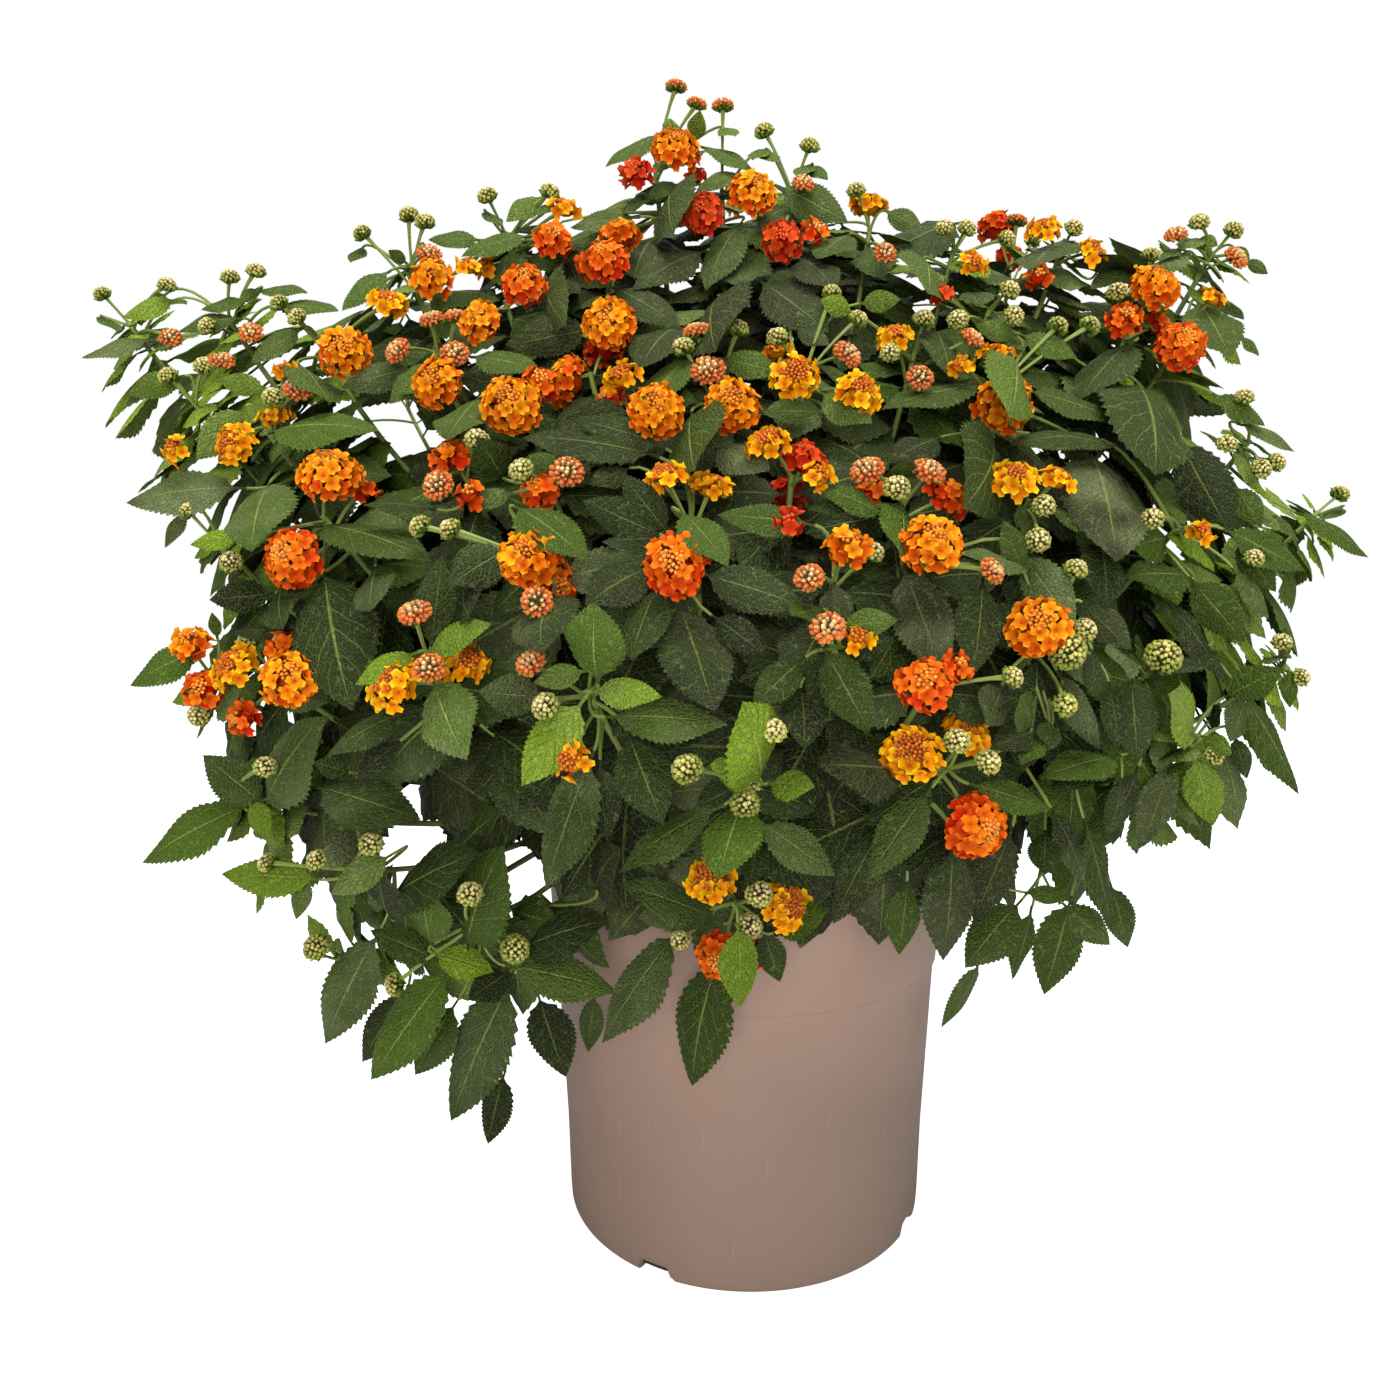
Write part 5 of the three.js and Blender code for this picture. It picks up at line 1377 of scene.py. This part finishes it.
def potProfile():
    # from the middle of the underside out, up the wall with its proud collar, over the lip and down inside
    low, high = pot["collarHeight"] - pot["collarStep"], pot["height"]
    rim, step, edge = wallRadius(high), pot["collarStep"], pot["edge"]
    skin, lip, innerLip = potForm["skin"], potForm["lip"], potForm["innerLip"]
    profile = potForm["foot"] + [(pot["baseRadius"] - edge, 0)]
    profile += roundCorner(pot["baseRadius"] - edge - skin, edge, edge, -80, 0, 6)
    profile += [(wallRadius(z) - skin - step * min(1, (z - edge) / potForm["stepFade"]), z)
                for z in np.linspace(12, low - 1, 14)]
    profile += [(wallRadius(low) - step, low - 0.2), (wallRadius(low) - 0.5 * step, low + 0.3)]
    profile += [(wallRadius(z), z) for z in np.linspace(pot["collarHeight"] + 0.8, high - 4, 7)]
    profile += roundCorner(rim - lip, high - lip, lip, 0, 90, 5)
    profile += roundCorner(rim - pot["wall"] + innerLip, high - innerLip, innerLip, 90, 180, 4)
    profile += [(wallRadius(z) - pot["wall"] - step, z) for z in np.linspace(high - 12, pot["floor"] + 3, 8)]
    profile += [(wallRadius(pot["floor"]) - pot["wall"] - step - 3, pot["floor"]), (0.0, pot["floor"])]
    return np.array(profile)


def makePot():
    # the profile turned about the axis; where a notch is, what lies under the arch is lifted to it
    profile = potProfile()[1:-1]
    turn = 2 * np.pi * np.arange(potForm["around"]) / potForm["around"]
    r = np.repeat(profile[:, :1], len(turn), 1)
    z = np.repeat(profile[:, 1:], len(turn), 1)
    for k in range(pot["notchCount"]):
        centre = math.radians(pot["notchFirst"] + 360 * k / pot["notchCount"])
        off = np.abs((turn - centre + np.pi) % (2 * np.pi) - np.pi) * pot["baseRadius"]
        arch = np.clip((pot["notchWidth"] / 2 - off) / potForm["archRamp"], 0, 1)
        arch = arch * arch * (3 - 2 * arch) * pot["notchHeight"]
        row = np.arange(len(profile))[:, None]
        outside = (row > 1) & (row < potForm["outsideRows"])
        near = np.clip(1 - z / potForm["archFade"], 0, 1)
        z = np.where(outside & (arch > 0), np.maximum(z, arch[None] + potForm["archKeep"] * z * near), z)
    points = np.stack([r * np.cos(turn), r * np.sin(turn), z], -1).reshape(-1, 3)
    points = np.concatenate([points, [[0, 0, potForm["foot"][0][1]], [0, 0, pot["floor"]]]])
    gather = Gather()
    gather.add(points[None], ringGrid(len(profile), len(turn)), np.array([0.5, 0.5, 0, 1]), held=False)
    makePiece("potShell", gather, potMaterial(), ["pot"], "pot")


def makeSoil():
    # a low mound with crumbs: heights by a few waves of unlike length, over rings that reach the wall
    around, rows, bottom, corner = (soilForm[key] for key in ("around", "rows", "bottom", "corner"))
    turn = 2 * np.pi * np.arange(around) / around
    inside = wallRadius(soil["top"]) - pot["wall"] - pot["collarStep"] - 0.5
    share = np.linspace(1, soilForm["middle"], rows)[:, None]
    r = inside * share * np.ones((1, around))
    x, y = r * np.cos(turn), r * np.sin(turn)
    crumbs = sum(np.sin(x * f + p) * np.cos(y * f * 1.13 - p) / (1 + 6 * f) for f, p in soilForm["waves"])
    z = soil["top"] + soil["mound"] * soilForm["rise"] * (1 - share**2) + soilForm["crumb"] * crumbs * (1 - share**8)
    low = wallRadius(corner) - pot["wall"] - pot["collarStep"] - 1
    under = [np.stack([q * np.cos(turn), q * np.sin(turn), np.full(around, h)], -1)
             for q, h in [(0.05 * low, bottom), (low, bottom), (low, corner)]]
    top = np.stack([x, y, np.minimum(z, soil["top"] + soil["mound"] - 0.1)], -1)
    points = np.concatenate([np.stack(under), top]).reshape(-1, 3)
    points = np.concatenate([points, [[0, 0, bottom], [0, 0, soil["top"] + soil["mound"] * soilForm["rise"]]]])
    gather = Gather()
    gather.add(points[None], ringGrid(rows + 3, around), np.array([0.5, 0.5, 0, 1]), held=False)
    makePiece("pottingMix", gather, soilMaterial(), ["soil"], "soil")


makePot()
makeSoil()
print("pot and soil made")

studio = {"floor": paint(240, 240, 240), "floorGlow": 0.9, "sky": (1.0, 1.0, 1.0, 1.0), "skyLight": 0.23,
          "lamps": {"keyLight": (43, 1.3, (-0.2, -2.7, 0.9)), "topLight": (58, 1.5, (0.1, -0.8, 2.5)),
                    "backLight": (22, 2.2, (0.5, 2.4, 2.2))},
          "aim": (0, 0, 0.35), "floorHalf": 30.0, "sensor": 36, "pictureWidth": 1400, "look": "Standard"}


def makeStudio():
    # a pale floor, a white room, and three square lamps that look at the bush
    floorMesh = bpy.data.meshes.new("floor")
    h = studio["floorHalf"]
    floorMesh.from_pydata([(-h, -h, 0), (h, -h, 0), (h, h, 0), (-h, h, 0)], [], [(0, 1, 2, 3)])
    floor = bpy.data.objects.new("floor", floorMesh)
    n = Nodes("paleFloor")
    floorMesh.materials.append(n.finish(studio["floor"], 0.8, **{
        "Emission Color": studio["sky"], "Specular IOR Level": 0.0}))
    n.put(n.shader.inputs["Emission Strength"], n.math(
        "MULTIPLY", n.node("ShaderNodeLightPath").outputs["Is Camera Ray"], studio["floorGlow"]))
    bpy.context.scene.collection.objects.link(floor)
    world = bpy.data.worlds.new("softRoom")
    world.use_nodes = True
    tree = world.node_tree
    sky = tree.nodes["Background"]
    sky.inputs[0].default_value = studio["sky"]
    # the room shows white, and lights the bush less than it shows
    seen = tree.nodes.new("ShaderNodeMapRange")
    tree.links.new(tree.nodes.new("ShaderNodeLightPath").outputs["Is Camera Ray"], seen.inputs["Value"])
    seen.inputs["To Min"].default_value = studio["skyLight"]
    tree.links.new(seen.outputs[0], sky.inputs[1])
    bpy.context.scene.world = world
    for name, (energy, size, place) in studio["lamps"].items():
        light = bpy.data.lights.new(name, "AREA")
        light.energy, light.size = energy, size
        lamp = bpy.data.objects.new(name, light)
        lamp.location = place
        way = np.array(studio["aim"]) - np.array(place)
        flat = math.hypot(way[0], way[1])
        lamp.rotation_euler = (math.pi / 2 + math.atan2(way[2], flat), 0, math.atan2(-way[0], way[1]))
        bpy.context.scene.collection.objects.link(lamp)


def makeCamera():
    # the eye of the layout: its lens shows pictureWidth thousandths of the distance from side to side
    data = bpy.data.cameras.new("camera")
    data.sensor_width = studio["sensor"]
    data.lens = studio["sensor"] * eye["scale"] / studio["pictureWidth"]
    camera = bpy.data.objects.new("camera", data)
    camera.location = (eye["x"] * millimetre, eye["y"] * millimetre, eye["z"] * millimetre)
    camera.rotation_euler = (math.radians(90 - eye["tilt"]), 0, 0)
    bpy.context.scene.collection.objects.link(camera)
    bpy.context.scene.camera = camera


makeStudio()
makeCamera()
bpy.context.scene.view_settings.view_transform = studio["look"]
